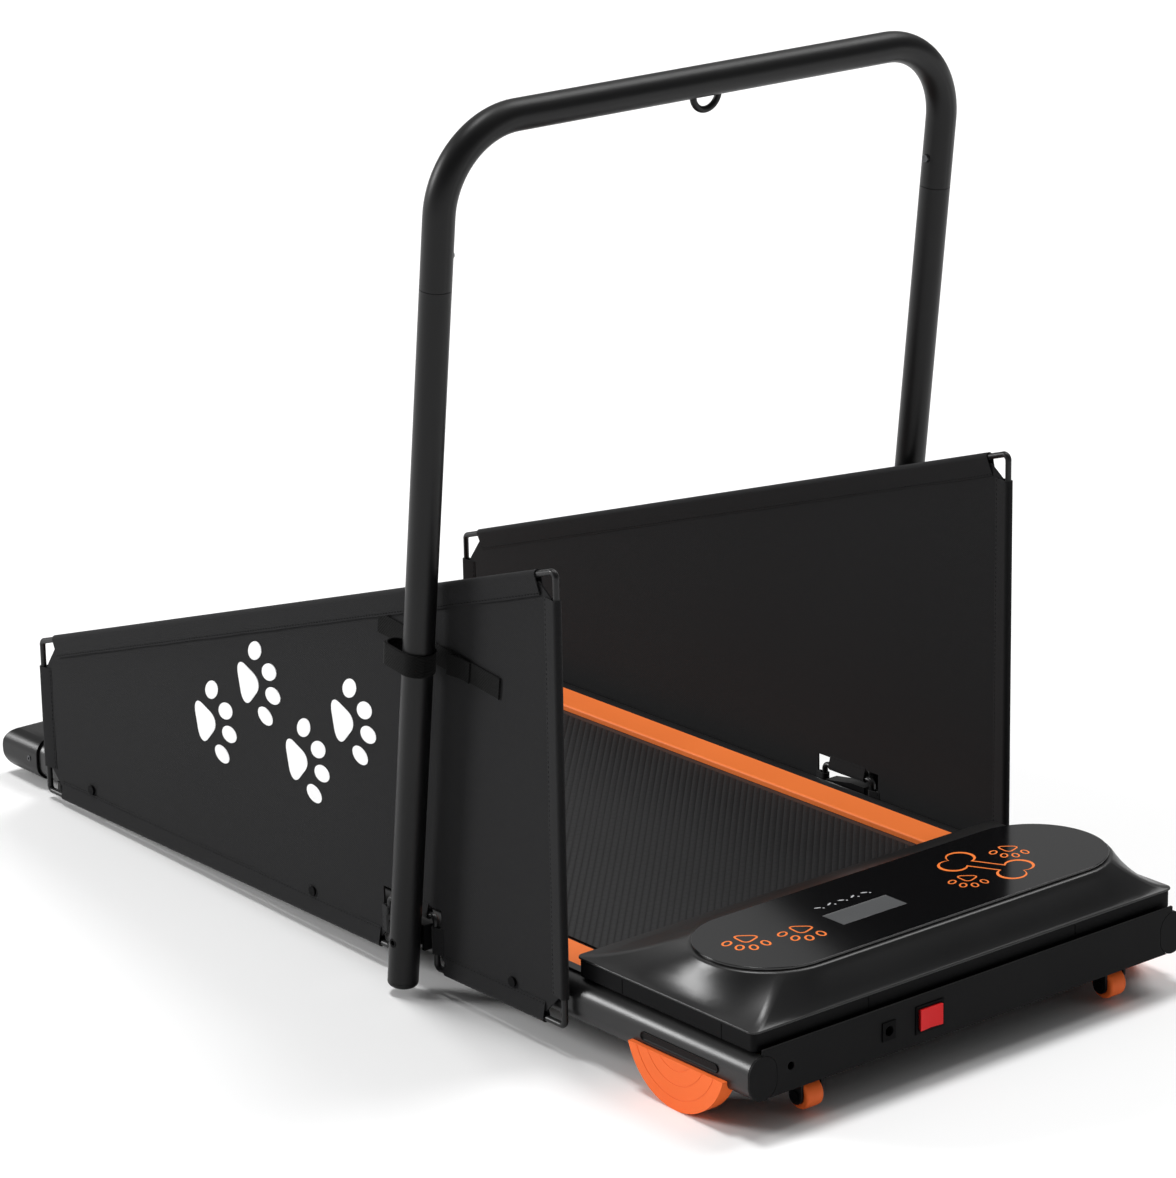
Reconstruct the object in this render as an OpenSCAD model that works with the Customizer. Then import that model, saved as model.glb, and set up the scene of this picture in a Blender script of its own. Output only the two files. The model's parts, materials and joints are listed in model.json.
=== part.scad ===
// Dog treadmill: a low motorised deck, two fabric side panels on bent rods and a folding leash gantry.
// Millimetres. +Z is up, +Y runs from the console to the rear, +X is to the right seen from the console.
// The origin lies on the floor, under the middle of the treadmill.

/* [Deck] */
// Overall length, from the face of the switch to the rear caps
deck_len = 1296; // [1150:1:1450]
// Width over the outer faces of the side rails
rail_span = 588; // [540:1:660]
// Width of the flat oval rail tube
rail_w = 34; // [30:0.5:38]
// Height of the flat oval rail tube
rail_h = 45; // [42:0.5:50]
// Wall of the rail tube
rail_wall = 2; // [1.5:0.1:3]
// Height of the rails above the floor, over the half-moon feet
rail_ground = 36.5; // [34:0.5:46]
// Slope of the deck down to the rear, in degrees
incline = 1.38; // [0:0.02:1.5]
// Thickness of the deck board
deck_t = 15; // [12:0.5:17]
// Drop of the deck board below the top of the rails
deck_drop = 4.5; // [3.5:0.1:6]
// Width of the coloured landing strips
strip_w = 49; // [40:0.5:55]
// Thickness of the landing strips
strip_t = 2.5; // [2:0.1:4]
// Width of the cross members under the deck
cross_w = 40; // [25:1:60]
// Height of the cross members under the deck
cross_h = 18; // [14:0.5:20]

/* [Running belt] */
// Width of the running belt
belt_w = 430; // [380:1:440]
// Thickness of the running belt
belt_t = 2; // [1.5:0.1:2.5]
// Diameter of the front and rear rollers
roller_d = 42; // [38:0.5:44]
// Set-back of the rear roller from the rear end
rear_set = 36; // [34:0.5:44]
// Length of the motor bay, front face to front roller
motor_bay = 214; // [205:1:225]
// Diameter of the drive pulley on the front roller
drive_pulley_d = 44; // [36:0.5:46]
// Diameter of the pulley on the motor shaft
motor_pulley_d = 22; // [18:0.5:28]

/* [Motor bay] */
// Height of the front beam's face
beam_h = 50.5; // [49:0.1:52]
// Thickness of the front beam's sheet
beam_t = 3; // [2:0.1:4]
// Diameter of the motor
motor_d = 76; // [64:1:80]
// Length of the motor
motor_len = 130; // [100:1:150]
// Width of the motor cover
cover_w = 568; // [550:1:580]
// Depth of the motor cover, front to rear
cover_depth = 264; // [255:1:275]
// Height of the motor cover's upright skirt
cover_skirt = 20.6; // [16:0.1:24]
// Height of the motor cover, skirt to console
cover_h = 58; // [56:0.5:66]
// Wall of the motor cover
cover_wall = 3; // [2:0.1:4]
// Length of the console overlay
console_len = 511; // [470:1:525]
// Width of the console overlay
console_w = 148; // [130:1:160]
// Thickness of the console overlay
console_t = 3; // [2.4:0.1:4]
// Width of the display window
display_w = 84; // [60:1:100]
// Depth of the display window
display_d = 30; // [20:0.5:40]

/* [Switch and inlet] */
// Width of the rocker switch
switch_w = 34; // [28:0.5:40]
// Height of the rocker switch
switch_h = 26; // [22:0.5:30]
// Stand-off of the rocker in front of the front beam
switch_proud = 4; // [3:0.1:6]
// Width of the power inlet
inlet_w = 16; // [13:0.5:22]
// Height of the power inlet
inlet_h = 18; // [13:0.5:22]
// Bore of the power inlet
inlet_bore_d = 10; // [7:0.1:11]

/* [Feet and casters] */
// Radius of the half-moon rocker feet
foot_r = 73; // [66:0.5:82]
// Height of the rocker feet
foot_h = 51; // [46:0.5:54]
// Thickness of the rocker feet
foot_t = 18; // [14:0.5:22]
// Distance of the rocker feet from the front beam's face
foot_set = 102; // [96:0.5:110]
// Diameter of the rear rubber feet
rear_foot_d = 30; // [24:0.5:34]
// Diameter of the caster wheels
caster_d = 30; // [24:0.5:30.5]
// Width of the caster wheels
caster_w = 21; // [16:0.5:28]
// Distance between the two casters
caster_span = 412; // [340:1:440]

/* [Side panels] */
// Length of the side panels
panel_len = 930; // [860:1:960]
// Gap between the panels and the rear caps
panel_set = 28.5; // [20:0.5:60]
// Height of the side panels at the console end
panel_front_h = 479.5; // [440:0.5:510]
// Height of the side panels at the rear end
panel_rear_h = 184.5; // [165:0.5:220]
// Height of the panels' lower edge above the floor
panel_ground = 31; // [29:0.5:36]
// Diameter of the panel rods
rod_d = 6.5; // [5:0.1:7]
// Bend radius of the panel rods
rod_bend = 5.5; // [4.5:0.1:8]
// Thickness of the panel cloth
cloth_t = 2; // [1.6:0.1:2.6]
// Width of the notch round the gantry post
notch_w = 67; // [66:0.5:90]
// Height of the notch round the gantry post
notch_h = 54.5; // [53:0.5:70]

/* [Gantry] */
// Diameter of the gantry tube
post_d = 32; // [28:0.5:34]
// Wall of the gantry tube
post_wall = 2; // [1.5:0.1:2.5]
// Lean of the gantry towards the console, from square to the deck, in degrees
lean = 6.75; // [5:0.05:9]
// Distance from the pivot to the seam of the posts
seam_rise = 696; // [640:1:720]
// Straight length of the upper bow's legs, above the seam
bow_leg = 72.6; // [62:0.2:90]
// Distance from the pivot to the posts' lower end
post_drop = 44.5; // [38:0.5:48]
// Bend radius of the crossbar's corners
bend_r = 88; // [70:1:110]
// Height of the pivot, measured from the feet's lowest line square to the deck
pivot_ground = 68.7; // [67.5:0.1:70]
// Diameter of the pivot pins
pivot_d = 10; // [8:0.1:12]
// Diameter of the snap buttons
button_d = 8; // [6:0.1:10]
// Radius of the leash ring's centre line
ring_r = 16.5; // [14:0.5:20]
// Diameter of the leash ring's rod
ring_rod_d = 7; // [5:0.1:8]
// Width of the hook-and-loop straps
strap_w = 23; // [18:0.5:30]

/* [Hidden] */
$fn = 48;
// Overrun of every cut past the faces that it opens
over = 1;
// Gap between seated pieces, running gap of shafts and gap round soft pieces
seat = 0.2;
run = 0.05;
soft = 0.3;

// Rails
half_len = deck_len / 2;
beam_y = switch_proud - half_len;
rail_out = rail_span / 2;
rail_in = rail_out - rail_w;
rail_x = rail_out - rail_w / 2;
rail_z = rail_ground + rail_h / 2;
rail_top = rail_ground + rail_h;
rail_flat = rail_h - rail_w;
plug_t = 3;
plug_depth = 18;
cap_wall = 2.5;
cap_clear = 0.5;
cap_r = rail_h / 2 + cap_clear + cap_wall;
cap_len = 46;
nose_y = half_len - cap_r;
cap_front = nose_y - cap_len;
cap_out = rail_out + cap_clear + cap_wall;
rail_front = beam_y + plug_t;

// Deck, belt and rollers
deck_top = rail_top - deck_drop;
belt_in_r = roller_d / 2 + soft;
belt_out_r = belt_in_r + belt_t;
roller_z = deck_top + soft - belt_in_r;
roller_half = belt_w / 2 + 2.5 * belt_t;
front_roller_y = beam_y + motor_bay;
rear_roller_y = half_len - rear_set;
cap_in = roller_half + belt_t;
deck_nose = front_roller_y + belt_out_r + strip_t;
deck_tail = cap_front - strip_t;
strip_out = rail_x - rail_wall;
strip_in = strip_out - strip_w;
strip_lip = 3;
strip_front = beam_y + cover_depth - strip_t;
cross_shares = [0.27, 0.73];
stub_r = 8;
shaft_r = 6;
block_w = 19;
block_r = 15;
roller_wall = 3;
roller_end = 12;

// Motor bay
beam_ground = rail_ground + seat * 5;
beam_top = beam_ground + beam_h;
flange_d = 28;
sheet_t = 2;
cover_ground = rail_top + 14 * seat;
cover_front = beam_y + 2 * beam_t;
cover_rear = cover_front + cover_depth;
cover_top = cover_ground + cover_h;
lip = 2;
ledge = 2;
console_set = 95;
console_y = cover_front + console_set;
tray_top = beam_ground + 2 * sheet_t;
tray_len = motor_bay - 2 * belt_out_r;
motor_set = 84;
motor_y = cover_front + motor_set;
motor_lift = 4;
motor_z = tray_top + motor_d / 2 + motor_lift;
motor_in = 60;
motor_out = motor_in + motor_len;
pulley_gap = 4;
pulley_in = roller_half + pulley_gap;
pulley_w = 14;
pulley_rim = 1.5;
pulley_lip = 2;
drive_t = 3;
flywheel_r = motor_d * 0.45;
flywheel_t = 18;

// Feet and casters
foot_y = beam_y + foot_set;
foot_groove = 1.2;
foot_groove_shares = [0.42, 0.62, 0.82];
slot_len = 114;
slot_h = rail_flat - seat * 5;
rear_foot_set = 110;
rear_foot_y = half_len - rear_foot_set;
caster_gap = 4;
caster_z = caster_gap + caster_d / 2;
caster_y = beam_y + caster_d / 2 + caster_gap;
cheek_t = 3;
axle_r = 3;
cheek_r = 9;

// Panels: the rod's centre line, front lower corner first and anticlockwise seen from the right
sleeve_t = 1.2;
sleeve_r = rod_d / 2 + soft + sleeve_t;
panel_gap = 2.25;
panel_x = rail_out + panel_gap + sleeve_r;
panel_front = cap_front - panel_set - panel_len;
post_gap = 6.65;
post_x = panel_x + sleeve_r + post_d / 2 + post_gap;
pivot_set = 226.9;
pivot_y = panel_front + pivot_set;
notch_ahead = 12;
notch_front = pivot_y - notch_ahead;
notch_rear = notch_front + notch_w;
panel_slope = (panel_rear_h - panel_front_h) / panel_len;
low_z = panel_ground + sleeve_r;
notch_z = panel_ground + notch_h + sleeve_r;
front_y = panel_front + sleeve_r;
rear_y = panel_front + panel_len - sleeve_r;
function panel_edge(y) = panel_ground + panel_front_h + panel_slope * (y - panel_front) - sleeve_r * 1.05;
panel_path = [
    [front_y, low_z],
    [notch_front - sleeve_r, low_z],
    [notch_front - sleeve_r, notch_z],
    [notch_rear + sleeve_r, notch_z],
    [notch_rear + sleeve_r, low_z],
    [rear_y, low_z],
    [rear_y, panel_edge(rear_y)],
    [front_y, panel_edge(front_y)]
];
// Bare rod at the panel's corners and at the notch's lower and upper corners, and the plate's set-back from the rod
corner_bare = 29;
notch_foot_bare = 16;
notch_top_bare = 10;
cloth_in = rod_d / 2 + soft + sleeve_t / 2;
screw_shares = [0.091, 0.452, 0.9];
screw_r = 3;
screw_head_r = 5.5;
screw_head_t = 2.5;
spacer_r = 7;

// Gantry
post_r = post_d / 2;
pipe_r = post_r - post_wall;
pivot_r = pivot_d / 2;
spigot_r = pipe_r - seat;
gantry_rise = seam_rise + bow_leg + bend_r;
spigot_short = 4.6;
spigot_up = bow_leg - spigot_short;
spigot_down = 14;
button_share = 0.47;
button_rise = seam_rise + spigot_up * button_share;
button_proud = 2.5;
button_travel = 3;
leaf_t = 0.8;
leaf_len = 40;
plug_edge = 4;
plug_rim = 6;
bracket_ahead = 10.6;
bracket_behind = 53;
bracket_below = 14;
bracket_above = 13.5;
bracket_fall = 7;
bracket_t = 4;
boss_wall = 5;
boss_r = pivot_r + boss_wall;
ring_drop = 13.5;
// The strap's upper rear corner keeps below the panel's sloping edge
strap_set = 21.1;
strap_len = 196;
strap_half = strap_len / 2;
strap_top = (panel_ground + panel_front_h - strap_set - pivot_ground - strap_half * sin(lean)
    + panel_slope * (pivot_set + strap_half * cos(lean))) / (cos(lean) + panel_slope * sin(lean));
strap_rise = strap_top - strap_w / 2;
strap_t = 1.8;
strap_slack = 12;
strap_r = post_r + soft + strap_t;
strap_tab = 8;

// Extrusions of a drawing along Y, drawn as (x, z), and along X, drawn as (y, z)
module along_y(from, to) translate([0, to, 0]) rotate([90, 0, 0]) linear_extrude(to - from) children();
module along_x(from, to) translate([from, 0, 0]) rotate([90, 0, 90]) linear_extrude(to - from) children();
// Sets what is drawn square to the deck on the floor: it slopes down to the rear about the half-moon feet
module stand() translate([0, foot_y + stand_shift, foot_r]) rotate([-incline, 0, 0])
    translate([0, -foot_y, -foot_r]) children();
// Round bar along X
module bar_x(from, to, r) translate([from, 0, 0]) rotate([0, 90, 0]) cylinder(h = to - from, r = r);
// Box given by two corners
module box(low, high) translate(low) cube(high - low);
// A pair, left and right
module both() {
    children();
    mirror([1, 0, 0]) children();
}
module left() mirror([1, 0, 0]) children();

// Round-ended slot, its length along the first axis
module slot(length, height) {
    square([length - height, height], center = true);
    for (end = [-1, 1]) translate([end * (length - height) / 2, 0]) circle(d = height);
}

// Flat oval of the rail, grown by some distance
module rail_shape(grow = 0) translate([rail_x, rail_z]) rotate(90) slot(rail_h + 2 * grow, rail_w + 2 * grow);

// Places of the three panel screws on the right side
module at_screws() for (share = screw_shares)
    translate([0, panel_front + share * panel_len, rail_z]) children();

module rail() {
    difference() {
        along_y(rail_front, nose_y) difference() {
            rail_shape();
            rail_shape(-rail_wall);
        }
        // Window of the foot insert
        along_x(rail_x, rail_out + over) translate([foot_y, rail_z]) slot(slot_len, slot_h);
        at_screws() bar_x(rail_x, rail_out + over, screw_r + seat);
    }
}
module rail_left() stand() color("#1c1c1d") left() rail();
module rail_right() stand() color("#1c1c1d") rail();

// Plastic plugs that close the front ends of the rails
module rail_front_plugs() stand() color("#161616") both() {
    along_y(beam_y, rail_front - seat) rail_shape();
    along_y(rail_front - seat, rail_front + plug_depth) difference() {
        rail_shape(-rail_wall - seat);
        rail_shape(-2 * rail_wall - seat);
    }
}

// Sheet beam across the front: face, lower flange and the shelf that carries the cover
module front_beam() stand() {
    side = rail_in - seat;
    color("#1a1a1b") difference() {
        union() {
            box([-rail_x, beam_y, beam_ground], [rail_x, beam_y + beam_t, beam_top]);
            box([-side, beam_y, beam_ground], [side, beam_y + flange_d, beam_ground + sheet_t]);
            box([-side, beam_y, cover_ground - seat - sheet_t], [side, beam_y + flange_d, cover_ground - seat]);
        }
        at_switch() along_hole() square([switch_w + 2 * seat, switch_h + 2 * seat], center = true);
        at_inlet() along_hole() square([inlet_w + 2 * seat, inlet_h + 2 * seat], center = true);
        translate([-cable_hole_x, 0, panel_mid_z]) along_hole() circle(d = cable_hole_d);
        // The ends of the face fit round the rails
        both() along_hole() rail_shape(seat);
    }
}
switch_x = 62;
inlet_x = 116;
cable_hole_x = 242;
cable_hole_d = 8;
panel_mid_z = beam_ground + beam_h / 2;
module at_switch() translate([-switch_x, 0, panel_mid_z]) children();
module at_inlet() translate([-inlet_x, 0, panel_mid_z]) children();
module along_hole() along_y(beam_y - over, beam_y + beam_t + over) children();

module cross_members() stand() color("#202021") for (share = cross_shares) {
    y = deck_nose + share * (deck_tail - deck_nose);
    top = deck_top - deck_t;
    along_x(-rail_in, rail_in) translate([y, top - cross_h / 2]) difference() {
        square([cross_w, cross_h], center = true);
        square([cross_w - 2 * sheet_t, cross_h - 2 * sheet_t], center = true);
    }
}

// Rear cap, seen from the side as (y, z) with a half-round nose, and from behind as (x, z) with the rail's outline
module cap_side(inset, from) {
    r = cap_r - inset;
    translate([nose_y, rail_z]) circle(r);
    translate([from, rail_z - r]) square([nose_y - from, 2 * r]);
}
module cap_back(inset) {
    r = cap_r - inset;
    rail_shape(r - rail_h / 2);
    translate([cap_in + inset, rail_z - r]) square([rail_x - cap_in - inset, 2 * r]);
}
// Moulded cap over the rail's rear end and the end of the roller shaft
module cap_form(inset, from) intersection() {
    along_x(cap_in, cap_out) cap_side(inset, from);
    along_y(from, half_len) cap_back(inset);
}
module rear_cap() color("#1b1b1c") difference() {
    cap_form(0, cap_front);
    cap_form(cap_wall, cap_front - over);
    translate([0, rear_roller_y, roller_z]) bar_x(cap_in - over, cap_in + cap_wall + over, shaft_r + cap_clear);
}
module rear_cap_left() stand() left() rear_cap();
module rear_cap_right() stand() rear_cap();

module deck_board() stand() color("#3a3531")
    box([soft - rail_in, deck_nose, deck_top - deck_t], [rail_in - soft, deck_tail, deck_top]);

// Landing strip: a flat top that lies on the rail, with a lip down to the deck
module landing_strip() {
    base = rail_top + seat;
    color("#f27538") along_y(strip_front, cap_front - soft) {
        translate([strip_in, base]) square([strip_w, strip_t]);
        translate([strip_in, deck_top + seat]) square([strip_lip, base - deck_top]);
    }
}
module landing_strip_left() stand() left() landing_strip();
module landing_strip_right() stand() landing_strip();

module running_belt() stand() {
    span = rear_roller_y - front_roller_y;
    color("#2d2d2e") along_x(-belt_w / 2, belt_w / 2) translate([front_roller_y + span / 2, roller_z]) difference() {
        slot(span + 2 * belt_out_r, 2 * belt_out_r);
        slot(span + 2 * belt_in_r, 2 * belt_in_r);
    }
}

// Drive roller with its stub shafts
module front_roller() stand() color("#8a8c8f") translate([0, front_roller_y, roller_z]) {
    bar_x(-roller_half, roller_half, roller_d / 2);
    bar_x(seat - rail_in, rail_in - seat, stub_r);
}
// Flanged pulley, its width along X from a given place
module pulley(from, r, bore) translate([from, 0, 0]) rotate([0, 90, 0]) difference() {
    union() {
        cylinder(h = pulley_w, r = r);
        for (end = [0, pulley_w - pulley_rim]) translate([0, 0, end]) cylinder(h = pulley_rim, r = r + pulley_lip);
    }
    translate([0, 0, -over]) cylinder(h = pulley_w + 2 * over, r = bore);
}
module drive_pulley() stand() color("#77797c") translate([0, front_roller_y, roller_z])
    pulley(pulley_in, drive_pulley_d / 2, stub_r + run);

// Blocks that carry the roller ends on the rails
module shaft_block(y, from, bore) translate([0, y, roller_z]) difference() {
    along_x(from, rail_in - seat) square(2 * block_r, center = true);
    bar_x(from - over, rail_in + over, bore);
}
module front_bearing_blocks() stand() color("#5c5e60") both()
    shaft_block(front_roller_y, rail_in - block_w, stub_r + run);
module rear_shaft_blocks() stand() color("#5c5e60") both()
    shaft_block(rear_roller_y, cap_in + cap_wall + seat, shaft_r + run);
module rear_roller_shaft() stand() color("#9b9da0") translate([0, rear_roller_y, roller_z])
    bar_x(seat - rail_in, rail_in - seat, shaft_r);
// Idler tube with a bearing in each end
module rear_roller() stand() color("#8a8c8f") translate([0, rear_roller_y, roller_z]) difference() {
    bar_x(-roller_half, roller_half, roller_d / 2);
    bar_x(roller_end - roller_half, roller_half - roller_end, roller_d / 2 - roller_wall);
    bar_x(-roller_half - over, roller_half + over, shaft_r + run);
}

module motor_tray() stand() {
    side = rail_in - soft;
    color("#1f1f20")
        box([-side, beam_y + beam_t + seat, beam_ground + sheet_t], [side, beam_y + tray_len, tray_top]);
}
// Cradle under the motor
module motor_mount() stand() {
    inset = motor_len / 8;
    color("#35373a") along_x(motor_in + inset, motor_out - inset) difference() {
        translate([motor_y - motor_d * 0.4, tray_top]) square([motor_d * 0.8, motor_d * 0.32]);
        translate([motor_y, motor_z]) circle(motor_d / 2 + seat);
    }
}
// Motor can with end bells and a bored nose
module motor() stand() {
    bell = motor_len / 9;
    color("#4a4c50") translate([0, motor_y, motor_z]) difference() {
        union() {
            bar_x(motor_in + bell, motor_out - bell, motor_d / 2);
            bar_x(motor_in, motor_out, motor_d * 0.44);
            bar_x(motor_in - bell, motor_out + bell / 2, motor_d * 0.17);
        }
        bar_x(motor_out - 2 * bell, motor_out + bell, shaft_r + run);
    }
}
// Motor shaft with its flywheel and pulley
module motor_rotor() stand() {
    bell = motor_len / 9;
    color("#8e9093") translate([0, motor_y, motor_z]) {
        bar_x(motor_out - bell, pulley_in + pulley_w, shaft_r);
        bar_x(motor_out + bell, motor_out + bell + min(flywheel_t, pulley_in - motor_out - 2 * bell), flywheel_r);
        pulley(pulley_in, motor_pulley_d / 2, shaft_r - run);
    }
}
// Outline of a belt round two wheels, drawn as (y, z) from their centres and radii
belt_steps = 20;
module belt_outline(c1, r1, c2, r2) {
    span = c2 - c1;
    along = atan2(span.y, span.x);
    half_turn = 90 - asin((r1 - r2) / norm(span));
    polygon([
        for (i = [0 : belt_steps])
            let (a = along + half_turn + (360 - 2 * half_turn) * i / belt_steps) c1 + r1 * [cos(a), sin(a)],
        for (i = [0 : belt_steps])
            let (a = along - half_turn + 2 * half_turn * i / belt_steps) c2 + r2 * [cos(a), sin(a)]
    ]);
}
module drive_belt() stand() {
    rim = pulley_rim + soft;
    shaft = [motor_y, motor_z];
    front = [front_roller_y, roller_z];
    inner = soft * 2;
    outer = inner + drive_t;
    color("#151515") along_x(pulley_in + rim, pulley_in + pulley_w - rim) difference() {
        belt_outline(shaft, motor_pulley_d / 2 + outer, front, drive_pulley_d / 2 + outer);
        belt_outline(shaft, motor_pulley_d / 2 + inner, front, drive_pulley_d / 2 + inner);
    }
}
// Motor controller: board on posts, finned heat sink and two capacitors
board_w = 160;
board_d = 96;
board_t = 1.6;
board_post = 6;
board_right = 50;
sink_h = 32;
sink_fins = 7;
sink_shares = [0.06, 0.6];
fin_t = 3;
module motor_controller() stand() translate([-board_right - board_w, motor_y - board_d / 2, tray_top]) color("#2f5d3c") {
    top = board_post + board_t;
    translate([0, 0, board_post]) cube([board_w, board_d, board_t]);
    for (x = [board_post, board_w - board_post], y = [board_post, board_d - board_post])
        translate([x, y, 0]) cylinder(h = board_post, r = board_post / 2);
    sink_len = board_w * sink_shares[1];
    translate([board_w * sink_shares[0], board_d / 4, top]) {
        cube([sink_len, board_d / 2, fin_t]);
        for (i = [0 : sink_fins - 1])
            translate([0, i * (board_d / 2 - fin_t) / (sink_fins - 1), 0]) cube([sink_len, fin_t, sink_h]);
    }
    for (share = [0.3, 0.7])
        translate([board_w * 0.85, board_d * share, top]) cylinder(h = sink_h, r = board_d / 8);
}

// Motor cover. Each ring of the skin is blended between a base rectangle and the console's round-ended top.
// A quarter outline is made of pairs [base point, top point], from the end of the console to its middle.
end_steps = 5;
corner_steps = 4;
side_steps = 9;
corner_r = 8;
ridge_turn = 54;
corner_turn = 8;
round_share = 0.3;
flare_steps = 8;
flare_power = 1.5;
// The rim round the console turns from the slope of the flare to level
rim = 5;
rim_turns = [40, 57, 74, 90];
function base_corner(a, b, r, turn) = [a - r + r * cos(turn), b - r + r * sin(turn)];
function top_arc(l, r, turn) = [l - r + r * cos(turn), r * sin(turn)];
function top_side(l, r, share) = share < round_share
    ? top_arc(l, r, ridge_turn + corner_turn + (90 - ridge_turn - corner_turn) * share / round_share)
    : [(l - r) * (1 - share) / (1 - round_share), r];
function quarter(a, b, rc, l, r) = concat(
    [for (i = [0 : end_steps - 1]) let (s = i / end_steps)
        [[a, (b - rc) * s], top_arc(l, r, ridge_turn * s)]],
    [for (i = [0 : corner_steps - 1]) let (s = i / corner_steps)
        [base_corner(a, b, rc, 90 * s), top_arc(l, r, ridge_turn + corner_turn * s)]],
    [for (i = [0 : side_steps - 1]) let (s = i / side_steps)
        [[(a - rc) * (1 - s), b], top_side(l, r, s)]]
);
function flip(pairs, sx, sy) = [for (p = pairs) [[p[0].x * sx, p[0].y * sy], [p[1].x * sx, p[1].y * sy]]];
function turned_back(pairs, middle) = concat([middle], [for (i = [len(pairs) - 1 : -1 : 1]) pairs[i]]);
// Whole outline, anticlockwise, for a cover drawn in by some inset
function cover_pairs(inset) =
    let (
        a = cover_w / 2 - inset,
        ahead = console_y - cover_front - inset,
        behind = cover_rear - console_y - inset,
        rc = max(corner_r - inset, corner_r / 4),
        l = console_len / 2 - inset + rim,
        r = console_w / 2 - inset + rim,
        rear = quarter(a, behind, rc, l, r),
        front = quarter(a, ahead, rc, l, r)
    )
    concat(
        rear,
        turned_back(flip(rear, -1, 1), [[0, behind], [0, r]]),
        flip(front, -1, -1),
        turned_back(flip(front, 1, -1), [[0, -ahead], [0, -r]])
    );
function cover_ring(inset, blend, z) = [for (p = cover_pairs(inset))
    let (q = p[0] * (1 - blend) + p[1] * blend) [q.x, q.y + console_y, z]];
skirt_top = cover_ground + cover_skirt;
function rim_in(turn) = rim * (cos(rim_turns[0]) - cos(turn));
function rim_z(turn) = cover_top - rim * (1 - sin(turn));
function flare_z(blend, z0, z1) = z0 + (z1 - z0) * pow(blend, flare_power);
cover_rings = concat(
    [
        cover_ring(lip, 0, cover_ground),
        cover_ring(lip, 0, skirt_top - ledge),
        cover_ring(0, 0, skirt_top - ledge)
    ],
    [for (i = [0 : flare_steps]) cover_ring(0, i / flare_steps, flare_z(i / flare_steps, skirt_top, rim_z(rim_turns[0])))],
    [for (i = [1 : len(rim_turns) - 1]) cover_ring(rim_in(rim_turns[i]), 1, rim_z(rim_turns[i]))],
    [
        cover_ring(2 * rim, 1, cover_top),
        cover_ring(2 * rim, 1, cover_top - cover_wall)
    ],
    [for (i = [flare_steps : -2 : 0])
        cover_ring(cover_wall + lip / 2, i / flare_steps,
            flare_z(i / flare_steps, skirt_top - cover_wall, cover_top - cover_wall - rim))],
    [cover_ring(lip + cover_wall, 0, skirt_top - ledge - cover_wall), cover_ring(lip + cover_wall, 0, cover_ground)]
);
module skin(rings) {
    n = len(rings[0]);
    m = len(rings);
    polyhedron(
        points = [for (ring = rings, p = ring) p],
        faces = [for (j = [0 : m - 1], i = [0 : n - 1])
            let (k = (i + 1) % n, u = ((j + 1) % m) * n, d = j * n)
            each [[d + i, u + i, u + k], [d + i, u + k, d + k]]]
    );
}
module motor_cover() stand() color("#1d1d1e") skin(cover_rings);

// Glossy overlay with a pocket for the display window
display_x = 60;
display_shift = 7;
window_t = 1.2;
module at_display() translate([-display_x, console_y - display_shift, 0]) children();
module console_overlay() stand() color("#242425") difference() {
    translate([0, console_y, cover_top + seat]) linear_extrude(console_t) slot(console_len, console_w);
    at_display() translate([0, 0, cover_top + seat + console_t - window_t])
        linear_extrude(window_t + over) square([display_w + 2 * seat, display_d + 2 * seat], center = true);
}
module display_window() stand() color("#6a6c6e") at_display() translate([0, 0, cover_top + 2 * seat + console_t - window_t])
    linear_extrude(window_t - seat) square([display_w, display_d], center = true);
// Display board hung on posts under the overlay
display_board_w = 250;
display_board_d = 80;
display_post = 7;
module display_board() stand() color("#2f5d3c") translate([-display_x - display_board_w / 5, console_y, cover_top]) {
    translate([0, 0, -display_post]) linear_extrude(board_t) square([display_board_w, display_board_d], center = true);
    for (sx = [-1, 1], sy = [-1, 1])
        translate([sx * (display_board_w / 2 - display_post), sy * (display_board_d / 2 - display_post), -display_post])
            cylinder(h = display_post, r = display_post / 2);
}

// Switch: a bezel in the beam and a rocker that tilts about Z
bezel_rim = 1.6;
bezel_t = 1.2;
bezel_depth = 16;
rocker_gap = 0.6;
rocker_tilt = 6;
rocker_pin_r = 1.5;
module switch_bezel() stand() color("#141414") at_switch() difference() {
    union() {
        along_y(beam_y - bezel_t, beam_y - seat)
            square([switch_w + 2 * bezel_rim, switch_h + 2 * bezel_rim], center = true);
        along_y(beam_y - seat, beam_y + bezel_depth) square([switch_w, switch_h], center = true);
    }
    along_y(beam_y - bezel_t - over, beam_y + bezel_depth - bezel_rim)
        square([switch_w - 2 * bezel_rim, switch_h - 2 * bezel_rim], center = true);
    translate([0, rocker_y, 0]) cylinder(h = switch_h - bezel_rim, r = rocker_pin_r + run, center = true);
}
rocker_y = beam_y + 5;
rocker_half = switch_w / 2 - bezel_rim - rocker_gap;
rocker_high = switch_h / 2 - bezel_rim - rocker_gap;
// Moves the sloped treadmill back under the origin, halfway between the rocker's lower edge and the caps
stand_shift = (foot_r - (rail_z + panel_mid_z - rocker_high) / 2) * sin(incline) - foot_y * (1 - cos(incline));
// The rocker's face is a shallow trough, so each half stands up when the other is pressed
module switch_rocker() stand() color("#d72328") at_switch() translate([0, 0, -rocker_high]) {
    linear_extrude(2 * rocker_high) polygon([
        [-rocker_half, -half_len],
        [0, rocker_face],
        [rocker_half, -half_len],
        [rocker_half * rocker_foot_share, rocker_y + rocker_back],
        [-rocker_half * rocker_foot_share, rocker_y + rocker_back]
    ]);
    translate([0, rocker_y, rocker_high])
        cylinder(h = switch_h - bezel_rim - rocker_gap, r = rocker_pin_r, center = true);
}
rocker_face = switch_proud * 0.4 - half_len;
rocker_back = 5;
rocker_foot_share = 0.6;

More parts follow.
